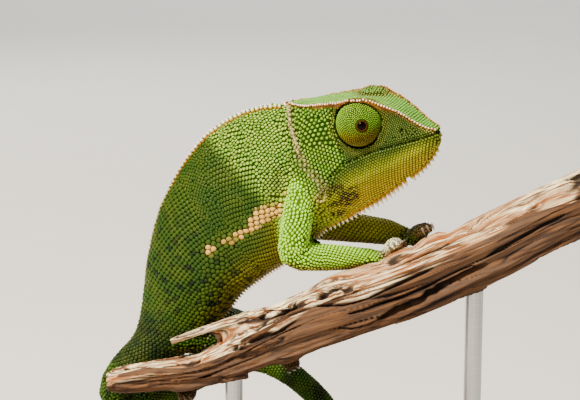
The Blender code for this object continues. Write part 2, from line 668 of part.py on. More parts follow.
def make_stand(material, metal, pieces, perch, helpers):
    """A flat base with round corners, and two rods that end in blind holes under the perch."""
    base_top = BASE_SIZE[2]
    bpy.ops.mesh.primitive_cube_add(size=1, location=Vector((0, 0, base_top / 2)) - SHOULDERS)
    base = bpy.context.object
    base.name = "stand_base"
    base.data.transform(Matrix.Diagonal((*BASE_SIZE, 1)))
    bm = bmesh.new()
    bm.from_mesh(base.data)
    corners = [e for e in bm.edges if abs(e.verts[0].co.z - e.verts[1].co.z) > 1]
    bmesh.ops.bevel(bm, geom=corners, offset=BASE_CORNER, segments=5, profile=0.5, affect="EDGES")
    rim = [e for e in bm.edges if all(v.co.z > 1 for v in e.verts)]
    bmesh.ops.bevel(bm, geom=rim, offset=BASE_EDGE, segments=2, profile=0.5, affect="EDGES")
    bm.to_mesh(base.data)
    bm.free()
    move_to(base, pieces, material)
    for n, x in enumerate(ROD_PLACES):
        centre, radius, _ = perch_place(x)
        bottom = base_top - SHOULDERS.z + GAP
        top = centre.z - radius + ROD_DEPTH_IN_PERCH
        make_rod(f"stand_rod_{n + 1}", centre, bottom, top, ROD_RADIUS, metal, pieces)
        hole = make_rod(f"rod_hole_{n + 1}", centre, bottom, top + GAP, ROD_RADIUS + GAP, metal, helpers)
        carve(perch, hole)


def make_rod(name, centre, bottom, top, radius, material, collection):
    bpy.ops.mesh.primitive_cylinder_add(
        vertices=ROD_SIDES, radius=radius, depth=top - bottom,
        location=(centre.x, centre.y, (top + bottom) / 2)
    )
    rod = bpy.context.object
    rod.name = name
    return move_to(rod, collection, material)


def move_to(obj, collection, material):
    for old in list(obj.users_collection):
        old.objects.unlink(obj)
    collection.objects.link(obj)
    obj.data.materials.append(material)
    return obj


def new_material(name, colour, roughness, metallic=0.0):
    material = bpy.data.materials.new(name)
    material.use_nodes = True
    shader = material.node_tree.nodes["Principled BSDF"]
    shader.inputs["Base Color"].default_value = (*colour, 1.0)
    shader.inputs["Roughness"].default_value = roughness
    shader.inputs["Metallic"].default_value = metallic
    return material


def new_collection(name):
    made = bpy.data.collections.new(name)
    bpy.context.scene.collection.children.link(made)
    return made


def main():
    for obj in list(bpy.data.objects):
        bpy.data.objects.remove(obj)
    skin = new_material("scaly_skin", (0.16, 0.30, 0.02), 0.55)
    eye = new_material("wet_eye", (0.01, 0.008, 0.006), 0.08)
    claw = new_material("claw_horn", (0.35, 0.27, 0.2), 0.45)
    wood = new_material("weathered_wood", (0.5, 0.34, 0.22), 0.85)
    base = new_material("base_wood", (0.03, 0.028, 0.026), 0.4)
    metal = new_material("rod_steel", (0.45, 0.45, 0.45), 0.35, 1.0)
    pieces, helpers = new_collection("chameleon"), new_collection("cutters")

    perch, perch_cutter = make_perch(wood, pieces, helpers)
    head_cutter = make_head(skin, pieces, helpers)
    make_eyes(skin, eye, pieces, helpers)
    trunk_cutter = make_trunk(skin, pieces, helpers)
    make_tail(skin, pieces)
    for limb in LIMBS:
        make_limb(limb, skin, claw, pieces, helpers, (trunk_cutter, head_cutter), perch_cutter)
    make_stand(base, metal, pieces, perch, helpers)

    for cutter in helpers.objects:
        cutter.hide_render = True
        cutter.display_type = "WIRE"
    bpy.context.view_layer.update()
    to_metres = Matrix.Scale(MM, 4) @ Matrix.Translation(SHOULDERS)
    for obj in [*pieces.objects, *helpers.objects]:
        obj.data.transform(to_metres @ obj.matrix_world)
        obj.matrix_world = Matrix.Identity(4)


main()
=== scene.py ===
# %% [markdown]
# # A flap-necked chameleon on its perch
# This notebook dresses the solid parts of a life-size museum model. The animal gets one skin over all its
# parts, thousands of solid scales on the skin, two turret eyes and its claws. The perch gets the cracks and
# colours of dead wood that has stood in the sun, and the stand its finish. Some colours of the animal and the
# perch also paint sunlight, highlights and shade. Lengths are in millimetres unless a name says otherwise,
# and become metres only when a mesh is made.

# %% The frame
import json
import math
import time

import bmesh
import bpy
import numpy as np
from mathutils import Matrix, Vector, kdtree, noise
from mathutils.bvhtree import BVHTree


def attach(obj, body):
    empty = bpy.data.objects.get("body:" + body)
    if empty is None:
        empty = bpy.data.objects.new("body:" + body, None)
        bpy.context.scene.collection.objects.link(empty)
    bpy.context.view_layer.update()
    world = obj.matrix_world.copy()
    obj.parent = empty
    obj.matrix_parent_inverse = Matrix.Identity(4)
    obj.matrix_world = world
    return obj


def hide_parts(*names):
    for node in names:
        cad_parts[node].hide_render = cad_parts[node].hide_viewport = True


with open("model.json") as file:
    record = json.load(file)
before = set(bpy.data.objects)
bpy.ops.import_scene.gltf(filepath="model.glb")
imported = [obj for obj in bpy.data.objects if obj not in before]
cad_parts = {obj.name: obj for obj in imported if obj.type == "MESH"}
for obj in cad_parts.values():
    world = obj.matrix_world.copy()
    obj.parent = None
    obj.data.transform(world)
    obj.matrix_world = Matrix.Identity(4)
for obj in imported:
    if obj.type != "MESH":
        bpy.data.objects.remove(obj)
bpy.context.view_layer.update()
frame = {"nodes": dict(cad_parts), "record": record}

MM = 0.001
SLOT_OF = {part["node"]: part["material_slot"] for part in frame["record"]["subparts"]}
START = time.time()
chance = np.random.default_rng(4)


def say(*words):
    """Prints what a cell made and the seconds gone so far."""
    print(f"[{time.time() - START:5.1f} s]", *words)


def unselect():
    """Leaves edit mode and selects nothing."""
    if bpy.context.object and bpy.context.object.mode != "OBJECT":
        bpy.ops.object.mode_set(mode="OBJECT")
    bpy.ops.object.select_all(action="DESELECT")


unselect()
say("parts loaded:", len(frame["nodes"]))

# %% [markdown]
# ## Copying the solids
# The meshes of the CAD parts are never changed. Each step works on a welded copy: the parts come as loose
# triangles, and merging their doubles gives a closed mesh that modifiers can work on.

# %% Welded copies
def new_object(name, data):
    """A new object in the scene for this mesh, lamp or camera."""
    obj = bpy.data.objects.new(name, data)
    bpy.context.scene.collection.objects.link(obj)
    return obj


def welded_copy(names, name):
    """One new object holding copies of these parts, welded, with the part each face came from."""
    bm = bmesh.new()
    owner = []
    for number, node in enumerate(names):
        bm.from_mesh(frame["nodes"][node].data)
        owner += [number] * (len(bm.faces) - len(owner))
    layer = bm.faces.layers.int.new("owner")
    for face, number in zip(bm.faces, owner):
        face[layer] = number
    bmesh.ops.remove_doubles(bm, verts=bm.verts, dist=1e-7)
    mesh = bpy.data.meshes.new(name)
    bm.to_mesh(mesh)
    bm.free()
    return new_object(name, mesh)


def tree_of(obj):
    """A tree for finding places on an object's surface, in millimetres."""
    faces = [face.vertices[:] for face in obj.data.polygons]
    return BVHTree.FromPolygons([v.co / MM for v in obj.data.vertices], faces)


FLESH = sorted(node for node, slot in SLOT_OF.items()
               if slot == "scaly_skin" and not node.startswith("eye_turret"))
flesh = welded_copy(FLESH, "flesh")
flesh_tree = tree_of(flesh)
flesh_owner = [d.value for d in flesh.data.attributes["owner"].data]
say(len(FLESH), "parts of flesh")

# %% [markdown]
# ## One skin
# A chameleon has a single skin with no joints in it. The copies are first swelled a little, so that they
# overlap where the solids leave a thin gap, then remeshed into one closed shell of even small faces and
# smoothed. Modifiers do all of this, and the same result would be slow to model by hand.

# %% The skin's first shape
def pick(obj):
    """Makes obj the only selected object and the active one."""
    unselect()
    obj.select_set(True)
    bpy.context.view_layer.objects.active = obj


def add_modifier(obj, kind, **settings):
    """Adds a modifier with its settings."""
    modifier = obj.modifiers.new(kind.lower(), kind)
    for field, value in settings.items():
        setattr(modifier, field, value)


def finish_modifiers(obj):
    """Applies the modifiers in their order."""
    pick(obj)
    for modifier in list(obj.modifiers):
        bpy.ops.object.modifier_apply(modifier=modifier.name)


SWELL, SKIN_GRAIN = 0.3, 0.48
skin = new_object("skin", flesh.data.copy())
add_modifier(skin, "DISPLACE", strength=SWELL * MM, mid_level=0.0)
add_modifier(skin, "REMESH", mode="VOXEL", voxel_size=SKIN_GRAIN * MM)
add_modifier(skin, "SMOOTH", factor=0.5, iterations=5)
finish_modifiers(skin)
say("skin faces:", len(skin.data.polygons))

# %% [markdown]
# ## Landmarks
# The head has a frame of its own: x runs forward from the snout's tip, y to the animal's left and z up
# through the crown. Lines on the head are written in that frame, on the left side only, and mirrored. Lines
# on the body are written from the point between the shoulders. Each is then laid on the skin.

# %% The head's frame
SHOULDERS = np.array([-14.0, 1.0, 90.0])
SNOUT = SHOULDERS + np.array([35.9, -17.0, 20.4])
YAW, NOD, ROLL = math.radians(-25), math.radians(17), math.radians(6)
HEAD_TURN = Matrix.Rotation(YAW, 3, "Z") @ Matrix.Rotation(-NOD, 3, "Y") @ Matrix.Rotation(ROLL, 3, "X")
HEAD_TURN = np.array(HEAD_TURN)
EYE = np.array([-17.2, 5.5, 7.4])
LOOK = np.array([0.55, 1.0, 0.0]) / math.hypot(0.55, 1.0)


def to_head(points):
    """Places of the world in the head's frame."""
    return (np.asarray(points) - SNOUT) @ HEAD_TURN


def from_head(points):
    """Places of the head's frame in the world."""
    return np.asarray(points) @ HEAD_TURN.T + SNOUT


def mirrored(points):
    """The same places on the head's other side."""
    return np.asarray(points) * np.array([1.0, -1.0, 1.0])


def unit(vectors):
    """Vectors brought to length 1."""
    return vectors / np.maximum(np.linalg.norm(vectors, axis=-1, keepdims=True), 1e-9)


say("the snout's tip is at", SNOUT)

# %% Curves
def length_along(points):
    """How far along their line each of the points lies."""
    return np.concatenate([[0], np.cumsum(np.linalg.norm(np.diff(points, axis=0), axis=1))])


def curve(knots, spacing):
    """Evenly spaced points on the smooth curve through the knots."""
    knots = np.asarray(knots, float)
    padded = np.vstack([2 * knots[0] - knots[1], knots, 2 * knots[-1] - knots[-2]])
    t = np.linspace(0, 1, 24, endpoint=False)[:, None]
    runs = [
        0.5 * (2 * b + (c - a) * t + (2 * a - 5 * b + 4 * c - d) * t**2 + (3 * b - a - 3 * c + d) * t**3)
        for a, b, c, d in zip(padded, padded[1:], padded[2:], padded[3:])
    ]
    fine = np.vstack([*runs, knots[-1:]])
    run = length_along(fine[:, :3])
    at = np.linspace(0, run[-1], max(int(round(run[-1] / spacing)), 1) + 1)
    return np.stack([np.interp(at, run, fine[:, k]) for k in range(fine.shape[1])], axis=1)


say("a curve in even steps:", curve([(0, 0, 0), (1, 0, 0), (3, 0, 0)], 1).round(2).tolist())

# %% Lines on the head
CREST = [
    (-36.4, 1, 16.3), (-33, 3, 15.3), (-29, 5, 14.7), (-21, 7, 13.9), (-15, 7.1, 13.1), (-11, 6.2, 11.1),
    (-7, 4.7, 7.6), (-3, 3.1, 2.8), (-0.7, 1.9, 1),
]
MOUTH = [
    (0.2, 0, 0), (-1.6, 3, 0), (-5, 4.9, 0.1), (-8.7, 6.4, 0.2), (-15, 8, 0.3), (-22.3, 9, -0.7),
    (-27.1, 9.4, -2.9), (-30.2, 9.4, -4.9),
]
FLAP = [
    (-35.8, 2, 16.2), (-35.3, 4.4, 12.4), (-34.9, 6, 9.9), (-34.2, 7.4, 7.5), (-33.8, 8.2, 5),
    (-33.3, 8.7, 2.6), (-32.6, 9, 0.9),
]
NOSTRIL = (-7.6, 4.5, 3.2)


def reading(line, column):
    """A function that reads a line at lengths along the head: column 1 is how far aside, 2 how high."""
    lengths, values = np.array(sorted(line))[:, [0, column]].T
    return lambda x: np.interp(x, lengths, values)


crest_height, crest_width, mouth_height = reading(CREST, 2), reading(CREST, 1), reading(MOUTH, 2)


def laid_on(tree, points):
    """Each point moved to the nearest place on the skin."""
    return np.array([tree.find_nearest(Vector(point))[0] for point in points])


rough_tree = tree_of(skin)
HEAD_SIDES = (np.asarray, mirrored)
crest_lines, mouth_lines, flap_lines = (
    [laid_on(rough_tree, from_head(side(curve(line, 0.5)))) for side in HEAD_SIDES]
    for line in (CREST, MOUTH, FLAP)
)
say("lines laid on the head:", len(crest_lines) + len(mouth_lines) + len(flap_lines))

# %% [markdown]
# ## Folds and ridges
# Folds, lips and ridges are too small for the solids, so they are sculpted: every vertex moves along its
# own normal by an amount that fades with its distance from a line. It is what a sculptor's crease brush
# does, written down, so it can be changed later. The skin also moves in by the depth of the scales that
# will stand on it.

# %% The skin as arrays
def places(obj):
    """The vertices of an object's mesh in millimetres, as an array."""
    flat = np.empty(len(obj.data.vertices) * 3)
    obj.data.vertices.foreach_get("co", flat)
    return flat.reshape(-1, 3) / MM


def normals(obj):
    """The way each vertex faces."""
    flat = np.empty(len(obj.data.vertices) * 3)
    obj.data.vertex_normals.foreach_get("vector", flat)
    return flat.reshape(-1, 3)


def joins_of(obj):
    """The two ends of every edge."""
    flat = np.empty(len(obj.data.edges) * 2, int)
    obj.data.edges.foreach_get("vertices", flat)
    return flat.reshape(-1, 2)


# The place of each vertex, the way it faces, and its place in the head's frame.
skin_at, skin_out = places(skin), normals(skin)
head_at = to_head(skin_at)
joins = joins_of(skin)
say("skin vertices:", len(skin_at))

# %% What each part of the skin covers
def part_of(points):
    """The number of the part that each place lies on."""
    return np.array([flesh_owner[flesh_tree.find_nearest(Vector(place))[2]] for place in points])


def on(*starts):
    """1 where the skin covers parts whose names start so, else 0."""
    return np.isin(part, [k for k, node in enumerate(FLESH) if node.startswith(starts)]).astype(float)


part = part_of(skin_at)
TRUNK_PARTS = ("neck", "chest", "belly", "pelvis")
HEAD, TRUNK = on("head", "jaw"), on(*TRUNK_PARTS)
ARMS, LEGS = on("upper_arm", "forearm"), on("thigh", "shin")
HANDS, TAIL, CHEST = on("hand", "foot"), on("tail"), on("neck", "chest")
TOES = on(*[node for node in FLESH if node.endswith("toes")])
say("vertices on the head:", int(HEAD.sum()), "and on the trunk:", int(TRUNK.sum()))

# %% Room for the scales
def blurred(values, joins, rounds):
    """Values averaged with those of the neighbours, again and again."""
    values = np.array(values, float)
    count = np.maximum(np.bincount(joins.ravel(), minlength=len(values)), 1)
    for _ in range(rounds):
        near = np.bincount(joins[:, 0], values[joins[:, 1]], len(values))
        near += np.bincount(joins[:, 1], values[joins[:, 0]], len(values))
        values = 0.4 * values + 0.6 * near / count
    return values


def step(values, low, high):
    """A smooth change from 0 at low to 1 at high."""
    t = np.clip((np.asarray(values, float) - low) / (high - low), 0, 1)
    return t * t * (3 - 2 * t)


# Scales end at the turret's edge, this far from the eye's centre.
TURRET_EDGE = 6.2
eye_gap = np.minimum(*[np.linalg.norm(skin_at - from_head(side(EYE)), axis=1) for side in HEAD_SIDES])
depth = 0.36 * (HEAD + TRUNK + ARMS + LEGS) + 0.3 * HANDS + 0.28 * TAIL
depth[on("tail_4") > 0] = 0.2
depth[on("tail_5") > 0] = 0.1
depth = blurred(depth, joins, 12) * step(eye_gap, TURRET_EDGE, 7.0)
say("depth of the scales from", depth.min().round(2), "to", depth.max().round(2))

# %% Folds at the shoulders
SHOULDER_FOLD = [
    (1.9, -10.8, 13.2), (3.2, -11.6, 11.1), (4.6, -12.3, 9.8), (6.2, -13, 8.4), (7.5, -13.4, 6.8),
    (8.1, -13.4, 4.9), (7.4, -12.6, 2.8),
]
ARM_FOLD = [(-1.9, -8.7, 9.7), (0, -8.9, 10.3), (2.2, -10.9, 9.6), (3.8, -11.7, 8.1)]
HOLLOW = [(-2.7, -8.7, 8), (-3, -8.8, 6.5), (-2.4, -9, 4.6)]
BODY_TURN = np.array(Matrix.Rotation(math.radians(-22), 3, "Z"))
BODY_MIDDLE = np.array([0.0, -2.4, 0.0])


def across_body(points):
    """The mirror of places on one side of the shoulders, on the other side."""
    turned = (np.asarray(points) - BODY_MIDDLE) @ BODY_TURN
    return mirrored(turned) @ BODY_TURN.T + BODY_MIDDLE


def on_both_sides(tree, line):
    """A line near the shoulders laid on the skin, and its mirror on the other side."""
    return [laid_on(tree, curve(side(line) + SHOULDERS, 0.5)) for side in (np.asarray, across_body)]


shoulder_folds, arm_folds, hollows = (
    on_both_sides(rough_tree, line) for line in (SHOULDER_FOLD, ARM_FOLD, HOLLOW)
)
say("folds:", len(shoulder_folds) + len(arm_folds) + len(hollows))

# %% How a fold fades
def gap_to(points, line):
    """How far each point is from a line given as close points."""
    line = np.asarray(line)
    square = (points**2).sum(1)[:, None] + (line**2).sum(1)[None] - 2 * points @ line.T
    return np.sqrt(np.maximum(square.min(1), 0))


def bump(distance, width):
    """One on the line, fading to nothing over about two widths."""
    return np.exp(-((distance / width) ** 2))


def ripple(points, size, seed=0.0):
    """Smooth noise about size millimetres across, between -1 and 1."""
    shift = Vector((seed, seed * 1.7, 0))
    return np.array([noise.noise(Vector(point) / size + shift) for point in points])


say("a bump fades over one and two widths to", bump(np.array([1.0, 2.0]), 1.0).round(2))

# %% Sculpting
def move_to(obj, points):
    """Moves the vertices to these places, in millimetres."""
    obj.data.vertices.foreach_set("co", (points * MM).ravel())
    obj.data.update()


# Each row: the lines, how high the skin rises over them, how far beside them, over what width, and where.
RISES = [
    (crest_lines, 0.42, 0.0, 0.7, 1.0),
    (mouth_lines, -0.5, 0.0, 0.32, 1.0),
    (mouth_lines, 0.16, 0.9, 0.45, HEAD),
    (flap_lines, 0.6, 0.0, 0.42, 1.0),
    (flap_lines, -0.35, 1.0, 0.5, 1.0),
    (shoulder_folds, -0.9, 0.0, 0.5, 1.0),
    (shoulder_folds, 0.4, 1.2, 0.55, 1.0),
    (arm_folds, -0.4, 0.0, 0.6, 1.0),
    (hollows, -0.6, 0.0, 1.6, 1.0),
]
lift = np.zeros(len(skin_at))
for lines, high, beside, wide, where in RISES:
    for line in lines:
        lift += high * bump(gap_to(skin_at, line) - beside, wide) * where
lift += 0.3 * bump(eye_gap - 6.5, 0.5) * HEAD
for side in HEAD_SIDES:
    lift -= 0.7 * bump(gap_to(skin_at, laid_on(rough_tree, [from_head(side(NOSTRIL))])), 0.42)
lift += 0.22 * ripple(skin_at, 7.0) * (TRUNK + ARMS + LEGS) + 0.1 * ripple(skin_at, 3.0, 5.0) * (TRUNK + HEAD)
skin_at = skin_at + skin_out * (lift - SWELL - depth)[:, None]
move_to(skin, skin_at)
skin_out = normals(skin)
head_at = to_head(skin_at)
skin_tree = tree_of(skin)
say("skin sculpted, lowest and highest lift:", lift.min().round(2), lift.max().round(2))

# %% [markdown]
# ## Where the scales stand
# Chameleon scales stand in rows round the body, the tail and the legs, and along the jaws. A row is found by
# shooting rays out from the middle of the body to the skin and stepping along the outline they draw. Rows are
# tried first, then loose places fill what is left, and a scale is kept only where it has room.

# %% The lines that the rows run round
BACK = [
    (-0.3, -2.5, 24.6), (-6.6, -1, 24.3), (-14.6, 1.2, 21), (-22.3, 3.2, 15), (-28.7, 4.6, 6.3),
    (-33.3, 5.5, -3.2), (-36, 6.2, -12.8), (-37.5, 6.8, -21.6), (-38.6, 7.2, -29.4), (-40.2, 7.5, -36),
    (-43.7, 7.8, -40.8), (-46.6, 8.5, -44.4),
]
BELLY = [
    (8.8, -2.5, -6.6), (4.4, -1, -11.6), (0, 1.2, -15.4), (-4.5, 3.2, -19), (-8.3, 4.6, -21.9),
    (-11.5, 5.5, -24.6), (-14.1, 6.2, -28), (-16.9, 6.8, -31.8), (-20.5, 7.2, -36.4), (-26.6, 7.5, -42),
    (-34.4, 7.8, -48), (-40.2, 8.5, -51.2),
]
TAIL_LINE = [
    (-43.4, 12, -57.4), (-37, 13.2, -56.8), (-29, 14.2, -53), (-20, 14.2, -48.4), (-10.6, 12.4, -45),
    (-2.2, 10.6, -47.2), (5.2, 9.6, -52.8), (10.6, 9.2, -58.8),
]
COIL_CENTRE, COIL_TURNS = np.array([5.0, 9.0, -65.2]), 1.22
COIL_WIDE, COIL_SMALL, COIL_DRIFT = 7.6, 2.7, 2.2
for share in np.linspace(0, 1, 22):
    angle = math.radians(6) - math.tau * COIL_TURNS * share
    reach = COIL_WIDE + (COIL_SMALL - COIL_WIDE) * share
    turned = [reach * math.cos(angle), COIL_DRIFT * share, reach * math.sin(angle)]
    TAIL_LINE.append(tuple(COIL_CENTRE + turned))
LIMBS = {
    "arm_right": [(3.4, -8.2, 7.4), (0.3, -10.6, -11.8), (23.8, 0.4, -15.4)],
    "arm_left": [(8.6, 5.2, 7.4), (2.6, 12.4, -8.2), (29.5, 4.8, -9.9)],
    "leg_right": [(-32.4, 4.4, -37.6), (-16.8, 8.4, -38.2), (-26.6, 2.8, -48.4)],
    "leg_left": [(-31.6, 12, -38), (-18, 23, -36), (-4.6, 4.6, -36.8)],
}
say("points on the tail's line:", len(TAIL_LINE))

# %% Rows round a line
ROW_GAP = 0.87  # rows lie closer than the scales in them, as in a honeycomb


def rows_round(line, pitch, reach, ups, rays, columns):
    """Places on the skin in rings round a line, and the way their row runs.

    Each ring is a row, a pitch apart along it. With a number of columns the rows run along the line instead,
    and every second ring holds every second column, so that the scales of neighbouring rows interlock.
    """
    found = []
    ahead = unit(np.gradient(line, axis=0))
    for row, (middle, way, up) in enumerate(zip(line, ahead, ups)):
        side = unit(np.cross(way, up))
        outline = []
        for angle in np.linspace(0, math.tau, rays, endpoint=False):
            ray = unit(up * math.cos(angle) + side * math.sin(angle))
            hit = skin_tree.ray_cast(Vector(middle), Vector(ray), reach)
            outline.append(np.array(hit[0]) if hit[0] else np.full(3, np.nan))
        outline = np.array(outline + outline[:1])
        gaps = np.linalg.norm(np.diff(outline, axis=0), axis=1)
        run = np.concatenate([[0], np.cumsum(np.nan_to_num(gaps, nan=pitch))])
        if columns:
            at = (np.arange(row % 2, columns, 2) + 0.11 * row) % columns * run[-1] / columns
        else:
            count = max(int(round(run[-1] / pitch)), 3)
            at = (np.arange(count) + 0.5 * (row % 2)) * run[-1] / count
        ring = np.stack([np.interp(at, run, outline[:, k]) for k in range(3)], axis=1)
        ring_way = np.tile(way, (len(at), 1)) if columns else unit(np.cross(way, ring - middle))
        found.append(np.hstack([ring, ring_way]))
    found = np.vstack(found)
    return found[~np.isnan(found).any(axis=1)]


say("rows lie", ROW_GAP, "of a pitch apart")

# %% Rows round the body
body_line = curve(np.hstack([np.array(BACK), np.array(BELLY)]), 0.1)
body_run = length_along((body_line[:, :3] + body_line[:, 3:]) / 2)
TRUNK_PITCH, NECK_PITCH, NECK_COLUMNS, NECK_LENGTH = 1.12, 0.9, 78, 23.0


def body_rings(at):
    """The back's and the belly's places at these lengths along the body."""
    both = np.stack([np.interp(at, body_run, column) for column in body_line.T], axis=1)
    return both[:, :3] + SHOULDERS, both[:, 3:] + SHOULDERS


def rows_between(back, belly, pitch, columns=0):
    """Rows round the body between its back and its belly."""
    return rows_round((back + belly) / 2, pitch, 24.0, unit(back - belly), 96, columns)


neck_at = np.arange(0, NECK_LENGTH, NECK_PITCH / 2)
trunk_at = np.arange(NECK_LENGTH, body_run[-1], TRUNK_PITCH * 0.9)
body_share = np.concatenate([neck_at, trunk_at]) / body_run[-1]
trunk_rows = np.vstack([rows_between(*body_rings(neck_at), NECK_PITCH, NECK_COLUMNS),
                        rows_between(*body_rings(trunk_at), TRUNK_PITCH)])
trunk_back, trunk_belly = body_rings(np.concatenate([neck_at, trunk_at]))
say("places in rows on the trunk:", len(trunk_rows))

# %% Rows on the limbs and the tail
LEAN = np.array([0.0, 0.3, 1.0])


def rows_along(points, pitch, reach, columns=0):
    """Rows round a limb or the tail."""
    line = curve(np.array(points) + SHOULDERS, pitch / 2 if columns else pitch * ROW_GAP)
    ahead = unit(np.gradient(line, axis=0))
    ups = unit(LEAN - ahead * (ahead @ LEAN)[:, None])
    return rows_round(line, pitch, reach, ups, 40, columns)


def kept_on(rows, *starts):
    """Only the rows' places whose part's name starts so."""
    wanted = [k for k, node in enumerate(FLESH) if node.startswith(starts)]
    return rows[np.isin(part_of(rows[:, :3]), wanted)]


LIMB_PITCH, LIMB_COLUMNS, TAIL_PITCH = 0.96, 28, 0.85
limb_rows = np.vstack([rows_along(line, LIMB_PITCH, 7.5, LIMB_COLUMNS) for line in LIMBS.values()])
limb_rows = kept_on(limb_rows, "upper_arm", "forearm", "thigh", "shin")
tail_rows = kept_on(rows_along(TAIL_LINE, TAIL_PITCH, 5.0), "tail")
trunk_rows = kept_on(trunk_rows, *TRUNK_PARTS)
say("places on the limbs and the tail:", len(limb_rows), len(tail_rows))

# %% Rays onto the head
ASIDE = 22.0


def cast_on_head(start, way, row_way=(1.0, 0.0, 0.0)):
    """The skin's places met by rays from these points of the head's frame, and the way their row runs."""
    way, row_way = HEAD_TURN @ np.array(way), HEAD_TURN @ np.array(row_way)
    hits = [skin_tree.ray_cast(Vector(place), Vector(way), 40.0)[0] for place in from_head(start)]
    return np.array([[*hit, *row_way] for hit in hits if hit])


def cast_from_side(rows, side, row_way=(1.0, 0.0, 0.0)):
    """The same from one side of the head, for rows of lengths and heights."""
    start = [np.stack(np.broadcast_arrays(x, ASIDE * side, z), axis=1) for x, z in rows]
    return cast_on_head(np.vstack(start), (0.0, -side, 0.0), row_way)


left, right = (cast_from_side([([-25.0], [5.0])], side)[0, :3] for side in (1, -1))
say("the head's breadth behind the eyes:", np.linalg.norm(left - right).round(1))

# %% Rows on the head
def side_rows(pitch, first, last, rows, over_mouth, side):
    """Rows along one side of the head, numbered from a line at a height over the mouth, which they follow."""
    found = []
    for row in rows:
        x = np.arange(first, last, pitch) + pitch / 2 * (row % 2)
        found.append((x, mouth_height(x) + over_mouth + row * pitch * ROW_GAP))
    return cast_from_side(found, side)


def temple_columns(pitch, side):
    """Columns on the temple, behind the eye."""
    found = []
    for column, x in enumerate(np.arange(-37.5, -22.0, pitch * ROW_GAP)):
        found.append((x, np.arange(-8, 17, pitch) + pitch / 2 * (column % 2)))
    return cast_from_side(found, side, (0.0, 0.0, 1.0))


TEMPLE_PITCH, FACE_PITCH, CROWN_PITCH, THROAT_PITCH = 0.94, 0.52, 0.8, 0.68
profile = curve([(x, 0.0, z) for x, _, z in CREST], CROWN_PITCH * ROW_GAP)
crown_x, crown_y = np.meshgrid(profile[:, 0], np.arange(-8, 8, CROWN_PITCH))
crown_y[:, ::2] += CROWN_PITCH / 2
crown = np.stack([crown_x.ravel(), crown_y.ravel(), np.full(crown_x.size, 25.0)], axis=1)
head_rows = [cast_on_head(crown, (0.0, 0.0, -1.0))]
for side in (1, -1):
    head_rows.append(side_rows(FACE_PITCH, -22.5, 0, range(0, 29), 0.5, side))
    head_rows.append(side_rows(THROAT_PITCH, -31, -1, range(-24, 0), 0.05, side))
    head_rows.append(temple_columns(TEMPLE_PITCH, side))
head_rows = kept_on(np.vstack(head_rows), "head", "jaw")
say("places on the head:", len(head_rows))

# %% The size of a scale at every place
def tree_at(points):
    """A tree for finding the nearest of these points."""
    tree = kdtree.KDTree(len(points))
    for number, place in enumerate(points):
        tree.insert(place, number)
    tree.balance()
    return tree


def nearest(tree, points):
    """The number of the tree's point nearest to each place."""
    return np.array([tree.find(place)[1] for place in points])


def gap_to_lines(lines):
    """How far each vertex of the skin is from the nearest of these lines."""
    return np.minimum(*[gap_to(skin_at, line) for line in lines])


BAND = [
    (2.5, -8.6, 1.6), (-1.2, -8.6, -0.6), (-3.8, -8.4, -0.9), (-6.5, -7.8, -2.2), (-9.2, -7, -4.4),
    (-10.9, -6.4, -6.5), (-13.6, -5.8, -8.6), (-16, -5.2, -9.7), (-18.6, -4.7, -10.2), (-20.4, -4, -12.6),
]
vertex_tree = tree_at(skin_at)
band_gap = gap_to_lines(on_both_sides(skin_tree, BAND))
in_mouth_line = mouth_height(head_at[:, 0])
facing = skin_out @ HEAD_TURN
crown_mask = HEAD * (facing[:, 2] > 0.25) * (head_at[:, 2] > crest_height(head_at[:, 0]) - 5)
crown_mask *= np.abs(head_at[:, 1]) < crest_width(head_at[:, 0]) - 0.1
throat_mask = HEAD * (head_at[:, 2] < in_mouth_line) * (head_at[:, 0] > -30.5)
jowl = (HEAD + CHEST) * step(-6.5 - head_at[:, 2], -1, 2) * step(head_at[:, 0] + 38, 0, 3)
temple_mask = HEAD * (1 - crown_mask) * (1 - throat_mask) * (head_at[:, 0] < -22.8)
face_mask = HEAD * (1 - crown_mask) * (1 - throat_mask) * (1 - temple_mask)
pitch = TEMPLE_PITCH * temple_mask + FACE_PITCH * face_mask
pitch += CROWN_PITCH * crown_mask + THROAT_PITCH * throat_mask
pitch += 0.78 * CHEST + TRUNK_PITCH * on("belly") + 1.05 * on("pelvis")
pitch += 0.8 * ARMS + 0.84 * LEGS + 0.64 * HANDS - 0.06 * TOES
pitch += TAIL_PITCH * on("tail_1", "tail_2", "tail_3") + 0.62 * on("tail_4") + 0.45 * on("tail_5")
pitch = blurred(pitch, joins, 10)
BAND_PITCH = 1.32
pitch += (BAND_PITCH - pitch) * step(bump(band_gap, 1.9) * TRUNK, 0.35, 0.6)
pitch = np.where(HEAD > 0, np.minimum(pitch, 0.5 + 0.5 * step(eye_gap, 6.4, 8.4)), pitch)
say("scale pitch from", pitch.min().round(2), "to", pitch.max().round(2))

# %% The spiky lines
KEEL = [
    (-2.2, 0, -4.6), (-5, 0, -6.8), (-9, 0, -8.7), (-14, 0, -10.4), (-21, 0, -13), (-27, 0, -14.7),
    (-31, 0, -15.8),
]
cone_places, cone_size, cone_height, cone_paint = [], [], [], []


def add_cones(places_on_skin, size, heights, paint):
    """Cones in a line: heights and paint, how white and orange they are, are given at even steps along it."""
    count = len(places_on_skin)
    share = np.linspace(0, 1, count)
    cone_places.extend(places_on_skin)
    cone_size.extend([size] * count)
    for values, steps in ((cone_height, heights), (cone_paint, paint)):
        values.extend(np.interp(share, np.linspace(0, 1, len(steps)), steps))


